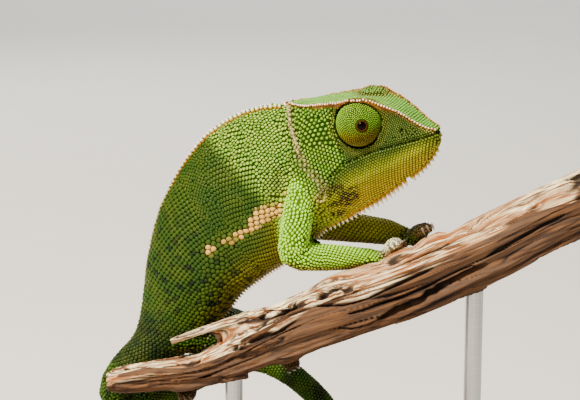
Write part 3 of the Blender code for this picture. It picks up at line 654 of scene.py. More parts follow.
for side in HEAD_SIDES:
    add_cones(laid_on(skin_tree, from_head(side(curve(CREST, 0.74)))), 0.34, [0.42, 0.42], [0.8, 0.8])
keel_line = laid_on(skin_tree, from_head(curve(KEEL, 1.34)))
add_cones(keel_line, 0.8, [0.9, 1.75, 2.1, 2.0, 1.6], [0.4, 0.6, 0.7, 0.8, 1])
chin_end, chest_start = from_head(KEEL[-1]), np.array(BELLY[0]) + SHOULDERS
neck_line = curve([chin_end, (chin_end + chest_start) / 2, chest_start], 1.2)[1:-1]
add_cones(laid_on(skin_tree, neck_line), 0.55, [1.5, 1.6], [1, 1])
back_line = laid_on(skin_tree, curve(np.array(BACK) + SHOULDERS, 1.22))
add_cones(back_line, 0.55, [1.35, 1.2, 0.6, 0.4, 0.35], [1, 1, 0.3, 0.1, 0])
# The belly's cones stand a little to the right of its middle, clear of the bulge of that side.
under_line = laid_on(skin_tree, curve(np.array(BELLY) - [0.0, 1.5, 0.0] + SHOULDERS, 0.92))
add_cones(under_line, 0.5, [1.3, 1.3, 1.0, 0.5, 0.3], [1, 0.95, 0.3, 0, 0])
say("cones:", len(cone_places))

# %% Keeping the places that have room
flap_gap, crest_gap = gap_to_lines(flap_lines), gap_to_lines(crest_lines)
below_crest = HEAD * (crest_height(head_at[:, 0]) - 0.15 > head_at[:, 2])
brow = below_crest * bump(crest_gap - 0.85, 0.5)
brow *= step(-head_at[:, 0], 7, 10) * (1 - step(-head_at[:, 0], 26, 30))


def with_room(tries, sizes, space=0.8):
    """The numbers of the tries that stand clear of all those kept before them."""
    cell = 1.3  # millimetres: more than two scales need, while spots only clear the cells round their own
    beside = [(a, b, c) for a in (0, -1, 1) for b in (0, -1, 1) for c in (0, -1, 1)]
    grid, kept = {}, []
    for number, (place, size) in enumerate(zip(tries.tolist(), sizes.tolist())):
        x, y, z = place
        i, j, k = int(x // cell), int(y // cell), int(z // cell)
        free = not any(
            (x - ox) ** 2 + (y - oy) ** 2 + (z - oz) ** 2 < (space * (size + other)) ** 2
            for a, b, c in beside
            for ox, oy, oz, other in grid.get((i + a, j + b, k + c), ())
        )
        if free:
            grid.setdefault((i, j, k), []).append((x, y, z, size))
            kept.append(number)
    return np.array(kept)


rows = np.vstack([trunk_rows, limb_rows, tail_rows, head_rows])
rows, row_ways = rows[:, :3], rows[:, 3:]
tries = np.vstack([cone_places, rows, skin_at[chance.permutation(len(skin_at))]])
root_vertex = nearest(vertex_tree, tries)
sizes = pitch[root_vertex] / 2
sizes[:len(cone_places)] = cone_size
nostrils = laid_on(skin_tree, from_head([NOSTRIL, mirrored(NOSTRIL)]))
open_skin = (eye_gap[root_vertex] > 6.15) | (crown_mask[root_vertex] > 0)
open_skin &= (gap_to(tries, np.vstack(mouth_lines)) > 0.36) & (gap_to(tries, nostrils) > 0.6)
open_skin &= (brow[root_vertex] < 0.5) & (flap_gap[root_vertex] * (1 + (head_at[root_vertex, 2] < 1.0)) > 0.3)
open_skin[:len(cone_places)] = True
order = np.flatnonzero(open_skin)
kept = order[with_room(tries[order], sizes[order])]
roots, root_size = tries[kept], sizes[kept]
is_cone = kept < len(cone_places)
say("scales:", len(roots), "of them cones:", is_cone.sum())

# %% Evening out the gaps
def neighbours(points, count):
    """The numbers of the nearest points to each point."""
    tree = tree_at(points)
    return np.array([[item[1] for item in tree.find_n(place, count + 1)][1:] for place in points])


def settled(points, radius, fixed, rounds):
    """Pushes crowded places apart over the skin."""
    for _ in range(rounds):
        near = neighbours(points, 7)
        away = points[:, None] - points[near]
        distance = np.linalg.norm(away, axis=2)
        crowd = np.maximum(1.02 * (radius[:, None] + radius[near]) - distance, 0)
        push = (away / np.maximum(distance, 1e-6)[..., None] * crowd[..., None]).sum(1) * 0.3
        push[fixed] = 0
        points = laid_on(skin_tree, points + push)
    return points


roots = settled(roots, root_size * 0.96, is_cone, 2)
root_row = row_ways[nearest(tree_at(rows), roots)]
say("scales settled")

# %% [markdown]
# ## Markings and painted light
# The markings are painted on the skin as masks: each is a number from 0 to 1 on every vertex, and the
# material mixes one named colour for each. Some masks paint light and shade rather than markings: sunlight
# on the neck and the near arm, highlights on the scales' tips, and shade on the flank, the hind part of the
# trunk, the far arm and in grooves and hollows. A scale takes the masks of the place where it stands, so
# skin and scales always agree, and no image is needed.

# %% Where each colour lies
trunk_middle = (trunk_back + trunk_belly) / 2
middle_tree = tree_at(trunk_middle)
ring = nearest(middle_tree, skin_at)
along_body = body_share[ring]
reach_up = np.linalg.norm(trunk_back - trunk_belly, axis=1)[ring] / 2
up_body = ((skin_at - trunk_middle[ring]) * unit(trunk_back - trunk_belly)[ring]).sum(1) / reach_up
wavy = ripple(skin_at, 4.0, 2.0)
fine_wavy = ripple(skin_at, 1.6, 7.0)
down = np.clip(-skin_out[:, 2], 0, 1)

fold_gap, mouth_gap = gap_to_lines(shoulder_folds), gap_to_lines(mouth_lines)
hollow_gap = gap_to_lines(hollows)
nostril = HEAD * bump(gap_to(skin_at, nostrils), 0.5)
say("the body's length:", body_run[-1].round(1))

# %% Blotches and spots
# Each dark blotch of the temple: its place along and up the head, and its size.
BLOTCHES = [
    ((-27.3, -6.5), 1.3), ((-23.8, -7), 0.7), ((-24.5, -9.2), 1), ((-28.6, -10.2), 0.9), ((-26.7, -11), 1),
    ((-29.8, -12.9), 0.9), ((-26, -8), 0.8),
]
ragged = 0.3 + 1.1 * wavy + 1.2 * fine_wavy
blotch = np.zeros(len(skin_at))
for (x, z), size in BLOTCHES:
    for side in (1, -1):
        spot = cast_from_side([([x], [z])], side)[0, :3]
        away = np.linalg.norm((skin_at - spot) @ HEAD_TURN * np.array([0.75, 1.0, 1.25]), axis=1)
        blotch = np.maximum(blotch, step(size + ragged - away, -0.5, 0.3))

SPOT_ROOM = 2.1
trunk_vertices = np.flatnonzero(TRUNK + on("tail_1", "thigh") > 0)
trunk_vertices = trunk_vertices[chance.permutation(len(trunk_vertices))]
trunk_at_random = skin_at[trunk_vertices]
spot_at = trunk_at_random[with_room(trunk_at_random, np.full(len(trunk_at_random), SPOT_ROOM), 1.0)]
spot_size = chance.uniform(0.4, 1.05, len(spot_at))
spot_reach = [spot_size[number] - gap for _, number, gap in map(tree_at(spot_at).find, skin_at)]
spots = step(spot_reach, -0.1, 0.15) * step(along_body, 0.28, 0.5) * (TRUNK + 0.8 * on("tail_1", "thigh"))
say("spots:", len(spot_at))

# %% The masks
chin = step(head_at[:, 0], -15, -4)
under_mouth = in_mouth_line - head_at[:, 2]
throat_end = head_at[:, 0] > -31
snout_tip = HEAD * step(head_at[:, 0], -3.4, -1.8) * (-under_mouth > 0.3)
pale_hand = on("hand_right") * step(skin_at[:, 2] - SHOULDERS[2], -16.5, -13.5)
SOLE_WAY = unit(np.array([0.5, -0.7, -0.4]))
band_half = np.interp(skin_at[:, 0] - SHOULDERS[0], [-20, -13, -10, -6, 0], [0.3, 0.5, 1.2, 1.7, 1.9])
flap_edge = bump(flap_gap, 0.4) * step(head_at[:, 2], -2, 4)
fold_edge = 0.4 * bump(fold_gap - 0.95, 0.3)
chest_cones = under_line[:30]
marks = {
    # Painted sunlight: the lighter neck is the sunlit part of the neck and shoulders, up to a straight
    # diagonal edge; the trunk behind it keeps the darker colour as painted shade.
    "neck": TRUNK * step(skin_at @ [1.0, 0.0, 1.0] - SHOULDERS[0] - SHOULDERS[2], -7.0, -2.5) * (1 - jowl),
    # The flank's dark green is partly its own colour and partly painted shade, and the hind part of the trunk
    # is painted darker still, as shade.
    "flank": TRUNK * (1 - step(along_body, 0.6, 0.8)),
    "belly": TRUNK * step(-up_body + 0.45 * (1 - step(along_body, 0.1, 0.25)), 0.35, 0.95),
    "rear": TRUNK * step(along_body, 0.6, 0.8),
    "band": TRUNK * step(band_half + 0.9 * wavy + 0.5 * fine_wavy - band_gap, -0.35, 0.35),
    "spots": spots,
    # The near arm is painted lighter, as if in sunlight, and the far arm darker, as if in shade.
    "arm": on("upper_arm_right", "forearm_right"),
    "far_arm": on("upper_arm_left", "forearm_left"),
    "leg": LEGS,
    "limb_under": (ARMS + LEGS) * step(down, 0.25, 0.8),
    "paw": pale_hand,
    "sole": pale_hand * step(skin_out @ SOLE_WAY, 0.1, 0.7),
    "palm": on("hand_left", "foot") * (1 - TOES) + on("hand_right") - pale_hand,
    "toes": TOES * on("hand_left", "foot"),
    "tail": TAIL,
    "tail_rings": TAIL * step(wavy * 0.6 + np.sin(skin_at[:, 0] * 0.75), 0.15, 0.7),
    "crown": np.maximum(crown_mask, snout_tip),
    "face": np.maximum(face_mask, throat_mask),
    "temple": temple_mask * (1 - jowl),
    "throat": np.maximum(HEAD * throat_end * step(under_mouth, 1.0 - 0.8 * chin, 6.5 - 4 * chin), jowl),
    "keel": HEAD * throat_end * step(under_mouth, 4.0 - 2 * chin, 8.0 - 3 * chin),
    "brow": brow,
    # Painted shade in the groove round each turret.
    "orbit_shade": HEAD * bump(eye_gap - 6.9, 0.7),
    "crest": HEAD * bump(crest_gap, 0.62),
    "edge": (HEAD + CHEST) * np.maximum(flap_edge, fold_edge)
            + 0.9 * TRUNK * bump(gap_to(skin_at, chest_cones), 0.85),
    # Painted shade in the mouth line, the folds at the shoulders and the nostrils.
    "crease": np.maximum.reduce([bump(mouth_gap, 0.28) * HEAD, bump(fold_gap, 0.5), nostril]),
    # Painted shade in the hollows before the arms' roots.
    "hollow_shade": TRUNK * bump(hollow_gap, 1.8),
    "blotch": blotch * step(-head_at[:, 0], 21, 23) * (HEAD + on("neck")),
}
say("masks:", len(marks))

# %% Painted sun highlights and soft edges
# How strongly a highlight, as if from the sun, is painted on each part's domes.
SUNNY = dict(arm=1.0, neck=0.7, temple=0.5, crown=0.6, face=0.1, throat=0.15, paw=0.8, band=0.3)
sunny = sum(share * marks[name] for name, share in SUNNY.items())
marks["sunny"] = np.clip(sunny * (1 - marks["belly"]), 0, 1)
# How many rounds of blurring soften each mask's edge.
SOFT = dict(
    neck=8, flank=14, belly=14, rear=16, arm=10, far_arm=10, leg=10, limb_under=8, paw=6, sole=4, palm=6,
    toes=6, tail=10, sunny=8, crown=3, face=6, temple=8, throat=6, keel=12, tail_rings=3,
)
for name, rounds in SOFT.items():
    marks[name] = blurred(marks[name], joins, rounds)
say("masks with soft edges:", len(SOFT))

# %% [markdown]
# ## One solid scale, thousands of times
# A scale is a small closed dome. Its outline is the ground that lies nearer to it than to its neighbours,
# which gives the tight honeycomb of real skin, and its three rings set how round or flat it is. Each has 46
# triangles. They are made straight as arrays, as a modifier can't fit each one to its neighbours.

# %% The outline of each scale
GRANULE, PLATE, CONE = 0, 1, 2
# A row for each kind: the width and height of the foot, the shoulder, the upper ring and the tip.
PROFILE = np.array([
    [(1.0, -0.6), (0.96, 0.26), (0.66, 0.82), (0.0, 1.0)],
    [(1.0, -0.8), (0.97, 0.6), (0.86, 0.98), (0.0, 1.04)],
    [(1.0, -0.3), (0.88, 0.16), (0.58, 0.52), (0.0, 1.0)],
])
# Dome and patch say how high each of these lies on the scale, and how far from the middle of its bake patch.
DOME, PATCH = [0.0, 0.35, 0.85, 1.0], [0.0015, 0.0014, 0.0009, 0.0]
CORNERS, GROOVE, FAR = 8, 0.93, 9.0


def ground(points, ups, radius, row_way, lined, widest=1.22):
    """How far each scale reaches at each of its corners, and the corners' directions.

    Where lined is 1 the scales of a row almost touch and the grooves between rows are wide; where it is 0 all
    grooves are alike. No corner reaches further than widest times the radius.
    """
    near = neighbours(points, 12)
    side = unit(np.cross(ups, np.array([0.31, 0.22, 0.92])))
    front = np.cross(ups, side)
    to = points[near] - points[:, None]
    a, b = (to * side[:, None]).sum(2), (to * front[:, None]).sum(2)
    far = np.maximum(np.hypot(a, b), 1e-6)
    edge = (far**2 + radius[:, None] ** 2 - radius[near] ** 2) / (2 * far)
    edge[np.abs((to * ups[:, None]).sum(2)) > 1.4 * radius[:, None]] = FAR
    turn = np.arctan2(b, a)
    angles = turn[:, :1] + (np.arange(CORNERS) + 0.5) / CORNERS * math.tau
    cosine = np.cos(angles[:, :, None] - turn[:, None, :])
    reach = np.where(cosine > 0.1, edge[:, None] / np.maximum(cosine, 0.1), FAR).min(2)
    reach = np.clip(reach, 0.5 * radius[:, None], (widest * radius)[:, None])
    reach = 0.9 * reach + 0.1 * reach.mean(1, keepdims=True)
    ways = np.cos(angles)[..., None] * side[:, None] + np.sin(angles)[..., None] * front[:, None]
    across = (ways * unit(np.cross(ups, row_way))[:, None]).sum(2)
    return reach * (GROOVE + lined[:, None] * (0.07 - 0.24 * across**2)), ways, angles


say("kinds of scale:", len(PROFILE))

# %% Making the scales of one piece
def write_masks(mesh, masks):
    """Keeps each mask as an attribute of the mesh, one number on every vertex."""
    for name, values in masks.items():
        mesh.attributes.new(name, "FLOAT", "POINT").data.foreach_set("value", values.astype(np.float32))


def scale_mesh(name, at, reach, ways, angles, ups, height, kind, spot_uv, masks):
    """One mesh of closed scales with their masks and their patches of the bake map."""
    rings = []
    for level in range(3):
        wide, tall = PROFILE[kind, level].T
        rise = ups * (height * tall)[:, None]
        rings.append(at[:, None] + ways * (reach * wide[:, None])[..., None] + rise[:, None])
    tip = at + ups * (height * PROFILE[kind, 3, 1])[:, None]
    points = np.concatenate([*rings, tip[:, None]], axis=1).reshape(-1, 3)
    turn = list(range(CORNERS))
    sides = list(zip(turn, turn[1:] + turn[:1]))
    one = [turn[::-1]]
    one += [[r + i, r + j, r + CORNERS + j, r + CORNERS + i] for r in (0, CORNERS) for i, j in sides]
    one += [[2 * CORNERS + i, 2 * CORNERS + j, 3 * CORNERS] for i, j in sides]
    size = 3 * CORNERS + 1
    mesh = bpy.data.meshes.new(name)
    faces = [[start + k for k in face] for start in range(0, len(points), size) for face in one]
    mesh.from_pydata((points * MM).tolist(), [], faces)
    dome = np.tile(np.repeat(DOME, [CORNERS, CORNERS, CORNERS, 1]), len(at))
    write_masks(mesh, {"dome": dome, **{key: np.repeat(mask, size) for key, mask in masks.items()}})
    circle = np.stack([np.cos(angles), np.sin(angles)], axis=2)
    patch = np.concatenate([circle * share for share in PATCH[:3]] + [circle[:, :1] * PATCH[3]], axis=1)
    patch = (patch + spot_uv[:, None]).reshape(-1, 2)
    index = np.empty(len(mesh.loops), int)
    mesh.loops.foreach_get("vertex_index", index)
    mesh.uv_layers.new(name="OFBake").data.foreach_set("uv", patch[index].astype(np.float32).ravel())
    mesh.polygons.foreach_set("use_smooth", [True] * len(mesh.polygons))
    return new_object(name, mesh)


say("triangles in a scale:", 6 + CORNERS * 5)

# %% The bake map of the skin
def edit(obj):
    """Opens an object's mesh for editing with everything selected."""
    pick(obj)
    bpy.ops.object.mode_set(mode="EDIT")
    bpy.ops.mesh.select_all(action="SELECT")


edit(skin)
bpy.ops.uv.smart_project(angle_limit=math.radians(66), island_margin=0.002)
bpy.ops.object.mode_set(mode="OBJECT")
skin.data.uv_layers.active.name = "OFBake"
skin_uv = np.empty(len(skin.data.loops) * 2)
skin.data.uv_layers["OFBake"].data.foreach_get("uv", skin_uv)
skin_uv = skin_uv.reshape(-1, 2)
first_loop = np.array([polygon.loop_start for polygon in skin.data.polygons])
say("skin unwrapped, loops:", len(skin_uv))

# %% How tall and what kind each scale is
hits = zip(*[skin_tree.find_nearest(Vector(place)) for place in roots])
roots, root_up, root_face, _ = (np.array(column) for column in hits)
root_uv = skin_uv[first_loop[root_face]]
root_vertex = nearest(vertex_tree, roots)
root_up = unit(root_up + skin_out[root_vertex])
root_part = part[root_vertex]
flat = (marks["flank"] + marks["rear"] + marks["band"])[root_vertex] > 0.4
kind = np.where(is_cone, CONE, np.where(flat, PLATE, GRANULE))
TALLER = dict(temple=0.22, arm=0.22, neck=0.12, crown=0.2, face=-0.24, flank=-0.3, rear=-0.25)
tall = sum((more * marks[name] for name, more in TALLER.items()), 0.64)
root_height = root_size * tall[root_vertex] * chance.uniform(0.85, 1.15, len(roots))
cones_in = np.flatnonzero(is_cone)
root_height[cones_in] = np.array(cone_height)[kept[cones_in]]
root_masks = {name: mask[root_vertex] for name, mask in marks.items()}
root_masks["cone"] = np.zeros(len(roots))
root_masks["cone"][cones_in] = np.array(cone_paint)[kept[cones_in]]
root_masks["shade"] = chance.uniform(0, 1, len(roots))
wide_edge = bump(flap_gap, 0.95) * step(head_at[:, 2], -3, 4) * HEAD
root_masks["edge"] = 0.6 * np.maximum(root_masks["edge"], wide_edge[root_vertex])
root_masks["blotch"] = root_masks["blotch"] * np.where(root_masks["shade"] > 0.45, 1.0, 0.35)
say("plates:", (kind == PLATE).sum(), "granules:", (kind == GRANULE).sum())

# %% The coat's pieces
def group_of(node, place):
    """The coat piece that a scale belongs to, by its part and side."""
    x, y, z = to_head(place)
    side = "right" if y < 0 else "left"
    if node in ("head", "jaw"):
        return f"scales_{'throat' if z < mouth_height(x) else 'head'}_{side}"
    if node in TRUNK_PARTS:
        return f"scales_{'neck' if node in ('neck', 'chest') else 'trunk'}_{across_side(place)}"
    if node.startswith("tail"):
        return "scales_tail"
    return "scales_hind_legs" if node.startswith(("thigh", "shin", "foot")) else "scales_arms"


def across_side(place):
    """Which side of the body's middle line a place lies on."""
    ring = middle_tree.find(place)[1]
    way = unit(np.cross(trunk_back[ring] - trunk_belly[ring], [1.0, 0.0, 0.2]))
    return "left" if (place - trunk_middle[ring]) @ way > 0 else "right"


group = np.array([group_of(FLESH[k], place) for k, place in zip(root_part, roots)])
lined = np.clip(marks["arm"] + marks["neck"] + 0.6 * marks["temple"] + 0.5 * marks["leg"], 0, 1)[root_vertex]
widest = np.where(kind == PLATE, 1.5, 1.24)
reach, ways, angles = ground(roots, root_up, root_size, root_row, lined * (1 - is_cone), widest)
coats = []
for name in sorted(set(group)):
    own = group == name
    masks = {key: mask[own] for key, mask in root_masks.items()}
    shape = [values[own] for values in (roots, reach, ways, angles, root_up, root_height, kind, root_uv)]
    coats.append(scale_mesh(name, *shape, masks))
    say(name, own.sum(), "scales")

# %% [markdown]
# ## The turret eyes
# A chameleon's lids are joined into one round turret with a small hole for the pupil. The turret is turned
# like a bowl: its outline is drawn once and spun round the way the eye looks. It stays a piece of its own,
# because on the living animal it turns under the skin of the head. Scales stand on it in rings.

# %% Turning the turrets
def settle(obj):
    """Bakes the object's place, turn and size into its mesh."""
    pick(obj)
    bpy.ops.object.transform_apply(location=True, rotation=True, scale=True)


TURRET_RADIUS = 5.34
# From inside the pupil hole, over its lip: distance from the pole and height along it.
RIM = [
    (0, 4.2), (0.85, 4.2), (0.9, 5.02), (0.94, 5.36), (1.02, 5.52), (1.16, 5.56), (1.34, 5.48), (1.5, 5.36),
]
eye_centres = {"left": from_head(EYE), "right": from_head(mirrored(EYE))}
eye_looks = {"left": HEAD_TURN @ LOOK, "right": HEAD_TURN @ mirrored(LOOK)}


def turret_radius(angle):
    """The turret's radius at an angle from the pupil: nearly a ball, a little drawn out to the pupil."""
    return TURRET_RADIUS + 0.1 * np.exp(-((angle / math.radians(32)) ** 2))


def turn_to(way):
    """The turn that brings the z axis to a direction."""
    return Vector(way).to_track_quat("Z", "Y").to_matrix()


def turned_turret(side):
    """The lids as one round bowl, closed behind, with a hole for the pupil."""
    turns = np.radians(np.linspace(17.0, 180, 42))
    outline = RIM + [(turret_radius(a) * math.sin(a), turret_radius(a) * math.cos(a)) for a in turns]
    mesh = bpy.data.meshes.new(f"turret_{side}")
    points = [(r * MM, 0, z * MM) for r, z in outline]
    mesh.from_pydata(points, [(k, k + 1) for k in range(len(points) - 1)], [])
    obj = new_object(f"turret_{side}", mesh)
    edit(obj)
    bpy.ops.mesh.spin(steps=72, angle=math.tau, center=(0, 0, 0), axis=(0, 0, 1))
    bpy.ops.mesh.select_all(action="SELECT")
    bpy.ops.mesh.remove_doubles(threshold=1e-6)
    bpy.ops.mesh.normals_make_consistent(inside=False)
    bpy.ops.object.mode_set(mode="OBJECT")
    obj.matrix_world = Matrix.Translation(eye_centres[side] * MM) @ turn_to(eye_looks[side]).to_4x4()
    settle(obj)
    bpy.ops.object.shade_smooth()
    return obj


turrets = {side: turned_turret(side) for side in ("left", "right")}
say("turret faces:", len(turrets["left"].data.polygons))

# %% Scales in rings round each pupil
def turret_places():
    """Places on rings round the pole z, with a scale's half pitch at each."""
    found, halves, angle, row = [], [], math.radians(19.5), 0
    while angle < math.radians(118):
        radius = float(turret_radius(angle))
        pitch_here = float(np.interp(math.degrees(angle), [19, 45, 110], [0.46, 0.56, 0.66]))
        count = 12 * round(math.tau * radius * math.sin(angle) / pitch_here / 12)
        turns = (np.arange(count) + 0.5 * (row % 2)) * math.tau / count
        wide, high = math.sin(angle), math.cos(angle)
        found += [(wide * math.cos(turn), wide * math.sin(turn), high) for turn in turns]
        halves += [pitch_here / 2] * count
        angle += pitch_here * 0.88 / radius
        row += 1
    return np.array(found), np.array(halves)


def turret_marks(points, look):
    """Masks for the turret: a painted highlight above and behind, brownish below, red at the pupil's rim."""
    ups = unit(points)
    angle = np.arccos(np.clip(ups @ look, -1, 1))
    return {
        "turret": np.ones(len(ups)),
        "sunny": 0.7 * step(ups[:, 2] - 0.5 * ups[:, 0], -0.2, 0.7),
        "turret_low": step(-ups[:, 2] + 0.15 * ups[:, 0], -0.15, 0.6),
        "turret_rim": 1 - step(angle, math.radians(13), math.radians(15.5)),
    }


ball, ball_size = turret_places()
ball_angle = np.arccos(ball[:, 2])
ball_uv = 0.5 + 0.45 * ball[:, :2] * (ball_angle / math.pi / np.maximum(np.sin(ball_angle), 0.05))[:, None]
turret_scales = {}
for side, obj in turrets.items():
    look = eye_looks[side]
    ups = ball @ np.array(turn_to(look)).T
    at = ups * turret_radius(ball_angle)[:, None] + eye_centres[side]
    reach, ways, angles = ground(at, ups, ball_size, np.cross(ups, look), np.zeros(len(ups)))
    masks = {**turret_marks(ups, look), "shade": chance.uniform(0, 1, len(ups))}
    turret_scales[side] = scale_mesh(f"scales_turret_{side}", at, 0.86 * reach, ways, angles, ups,
                                     0.9 * ball_size, np.full(len(ups), GRANULE), ball_uv, masks)
    lid = places(obj) - eye_centres[side]
    write_masks(obj.data, {**turret_marks(lid, look), "shade": np.full(len(lid), 0.5)})
say("scales on each turret:", len(ball))

# %% The masks of the skin
bare = np.clip(np.maximum(brow, marks["edge"]) * 1.3, 0, 1)
write_masks(skin.data, {**marks, "shade": np.zeros(len(skin_at)), "dome": 0.7 * bare})
pick(skin)
bpy.ops.object.shade_smooth()
say("masks written on the skin")

# %% [markdown]
# ## Materials
# Each material starts from the real surface. Colours are given as the hex values seen on screens and turned
# into the linear values that Blender works in by one function, and one more function adds a node with its
# settings.

# %% Colours
def linear(hexes):
    """The linear colour of a hex value such as 8fae34."""
    values = [int(hexes[k:k + 2], 16) / 255 for k in (0, 2, 4)]
    return (*(v / 12.92 if v <= 0.04045 else ((v + 0.055) / 1.055) ** 2.4 for v in values), 1.0)


say("white is", linear("ffffff"))

# %% Nodes and materials
def fill(tree, node, sockets):
    """Links the outputs given for a node's sockets, and sets hex colours and numbers on them."""
    for socket, value in sockets.items():
        if isinstance(value, bpy.types.NodeSocket):
            tree.links.new(value, node.inputs[socket])
        else:
            node.inputs[socket].default_value = linear(value) if isinstance(value, str) else value


def add(tree, kind, sockets, **settings):
    """Adds a node: settings go to its fields; sockets hold values or the outputs to link."""
    made = tree.nodes.new(kind)
    for field, value in settings.items():
        setattr(made, field, value)
    fill(tree, made, sockets)
    return made


def new_material(name):
    """An empty material and its tree, with a Principled shader that is joined to the output."""
    material = bpy.data.materials.new(name)
    material.use_nodes = True
    tree = material.node_tree
    return material, tree, tree.nodes["Principled BSDF"]


say("an empty material has these nodes:", [node.name for node in new_material("plain")[1].nodes])
bpy.data.materials.remove(bpy.data.materials["plain"])

# %% Masks, mixes and patterns
def mask_of(tree, name, output="Fac"):
    """A mask of the mesh."""
    return add(tree, "ShaderNodeAttribute", {}, attribute_name=name).outputs[output]


def mixed(tree, share, first, second, blend="MIX"):
    """A colour mixed from two by a share."""
    sockets = {0: share, 6: first, 7: second}
    return add(tree, "ShaderNodeMix", sockets, data_type="RGBA", blend_type=blend).outputs[2]


def maths(tree, kind, *values):
    """One sum with two numbers."""
    return add(tree, "ShaderNodeMath", dict(enumerate(values)), operation=kind).outputs[0]


def place_of(tree):
    """The place on the object that a texture reads."""
    return add(tree, "ShaderNodeTexCoord", {}).outputs["Object"]


def noise_of(tree, size_mm, detail=3.0):
    """Noise whose features are about size_mm across."""
    sockets = {"Vector": place_of(tree), "Scale": 1 / (size_mm * MM), "Detail": detail, "Roughness": 0.55}
    return add(tree, "ShaderNodeTexNoise", sockets).outputs["Fac"]


def bumps(tree, strength, distance, height):
    """A surface made slightly uneven, by a distance in metres."""
    sockets = {"Strength": strength, "Distance": distance, "Height": height}
    return add(tree, "ShaderNodeBump", sockets).outputs[0]


def spread(tree, value, low, high, to_low=0.0, to_high=1.0):
    """A smooth change from to_low to to_high as the value goes from low to high."""
    sockets = {0: value, 1: low, 2: high, 3: to_low, 4: to_high}
    return add(tree, "ShaderNodeMapRange", sockets, interpolation_type="SMOOTHSTEP").outputs[0]


say("a mask, a mix, a sum, noise, bumps and a spread are ready")

# %% The hide
def dress(obj, material):
    """Gives an object this material and no other."""
    obj.data.materials.clear()
    obj.data.materials.append(material)


HIDE_BASE = "2f5a02"
# Besides the hide's own colours, some of these paint light and shade: the neck's lighter green is painted
# sunlight, the flank's dark green is partly painted shade, the hind part of the trunk, the far arm, the
# groove round each turret, the hollows before the arms and the creases are painted in shade, and the near
# arm's bright green is partly painted sunlight.
HIDE_COLOURS = dict(
    flank="203e00", rear="0e2600", neck="346a04", belly="6c6202", arm="92d820", far_arm="a09c08",
    leg="2c4a02", limb_under="6c5a08", paw="f2ead2", sole="b06e4c", palm="3e4a08", toes="48301a",
    tail="2c4a02", tail_rings="1c2c02", crown="468a26", face="223a00", temple="386804", throat="8c9400",
    keel="a89200", turret="4e7c02", turret_low="665800", orbit_shade="3e4604", crest="a05c38", band="cc9850",
    edge="d0a488", brow="70340c", spots="061a00", blotch="2a0c00", turret_rim="84402a", crease="0c0600",
    hollow_shade="243800",
)
# GAPS darkens the grooves between scales, partly as painted shade; HIGHLIGHT is a painted highlight.
CONE_FOOT, CONE_TIP, GAPS, HIGHLIGHT = "d08c24", "fdf6ea", "0e1600", "dcf266"


def hide_material():
    """Keratin scales over living skin, dry and a little waxy, with a small soft highlight on each bead,
    partly real shine and partly painted; the grooves get painted shade.
    """
    material, tree, shader = new_material("chameleon_hide")
    colour = HIDE_BASE
    for name, own_colour in HIDE_COLOURS.items():
        colour = mixed(tree, mask_of(tree, name), colour, own_colour)
    shade = mask_of(tree, "shade")
    dome = mask_of(tree, "dome")
    patchy = spread(tree, noise_of(tree, 5.0), 0.35, 0.7, 0.0, 0.22)
    colour = mixed(tree, patchy, colour, "606a04")
    # A highlight painted on the tip of each dome, as strong as the painted sun mask allows.
    lit = maths(tree, "MULTIPLY", spread(tree, dome, 0.75, 1.0), spread(tree, shade, 0.0, 1.0, 0.3, 0.75))
    lit = maths(tree, "MULTIPLY", lit, mask_of(tree, "sunny"))
    colour = mixed(tree, lit, colour, HIGHLIGHT)
    # The feet of the scales and the skin between them are darkened: partly the skin's own darker colour,
    # partly painted shade in the grooves.
    deep = mixed(tree, 1.0, colour, "8a8a60", "MULTIPLY")
    deep = mixed(tree, 0.5, deep, GAPS)
    colour = mixed(tree, spread(tree, dome, 0.0, 0.6, 0.95, 0.0), colour, deep)
    foot = mixed(tree, 0.6, colour, CONE_FOOT)
    pointed = mixed(tree, spread(tree, dome, 0.5, 1.0), foot, CONE_TIP)
    colour = mixed(tree, mask_of(tree, "cone"), colour, pointed)
    # The horny layer's real grain is far finer; a quarter of a millimetre is the least that shows.
    grain = noise_of(tree, 0.25, 2.0)
    dull = spread(tree, dome, 0.2, 0.8, 0.88, 0.42)
    polish = maths(tree, "ADD", spread(tree, grain, 0.3, 0.7, 0.0, 0.12), dull)
    fill(tree, shader, {
        "Base Color": colour, "Normal": bumps(tree, 0.25, 0.00006, grain), "Roughness": polish,
        "Specular IOR Level": spread(tree, dome, 0.2, 0.8, 0.03, 0.22), "IOR": 1.5,
    })
    return material


hide = hide_material()
for obj in [skin, *coats, *turrets.values(), *turret_scales.values()]:
    dress(obj, hide)
say("hide colours:", len(HIDE_COLOURS))

# %% [markdown]
# ## Eyeballs and claws
# The eyeball is wet and almost black in the lid's hole, with a thin red-brown iris at its edge. The claws
# are horn: each is a rounded copy of its solid, run back a little into the toe so that it grows out of the
# skin.

# %% Eyeballs
def eye_material():
    """A wet cornea over a dark pupil: black in the middle, a thin coppery ring and a faint highlight."""
    material, tree, shader = new_material("wet_eye")
    gap = mask_of(tree, "from_pupil")
    colour = mixed(tree, spread(tree, gap, 1.0, 1.1), "030202", "7a3a22")
    fill(tree, shader, {"Base Color": colour, "Roughness": 0.2, "Specular IOR Level": 0.08, "IOR": 1.33,
                        "Coat Weight": 0.03, "Coat Roughness": 0.05})
    return material


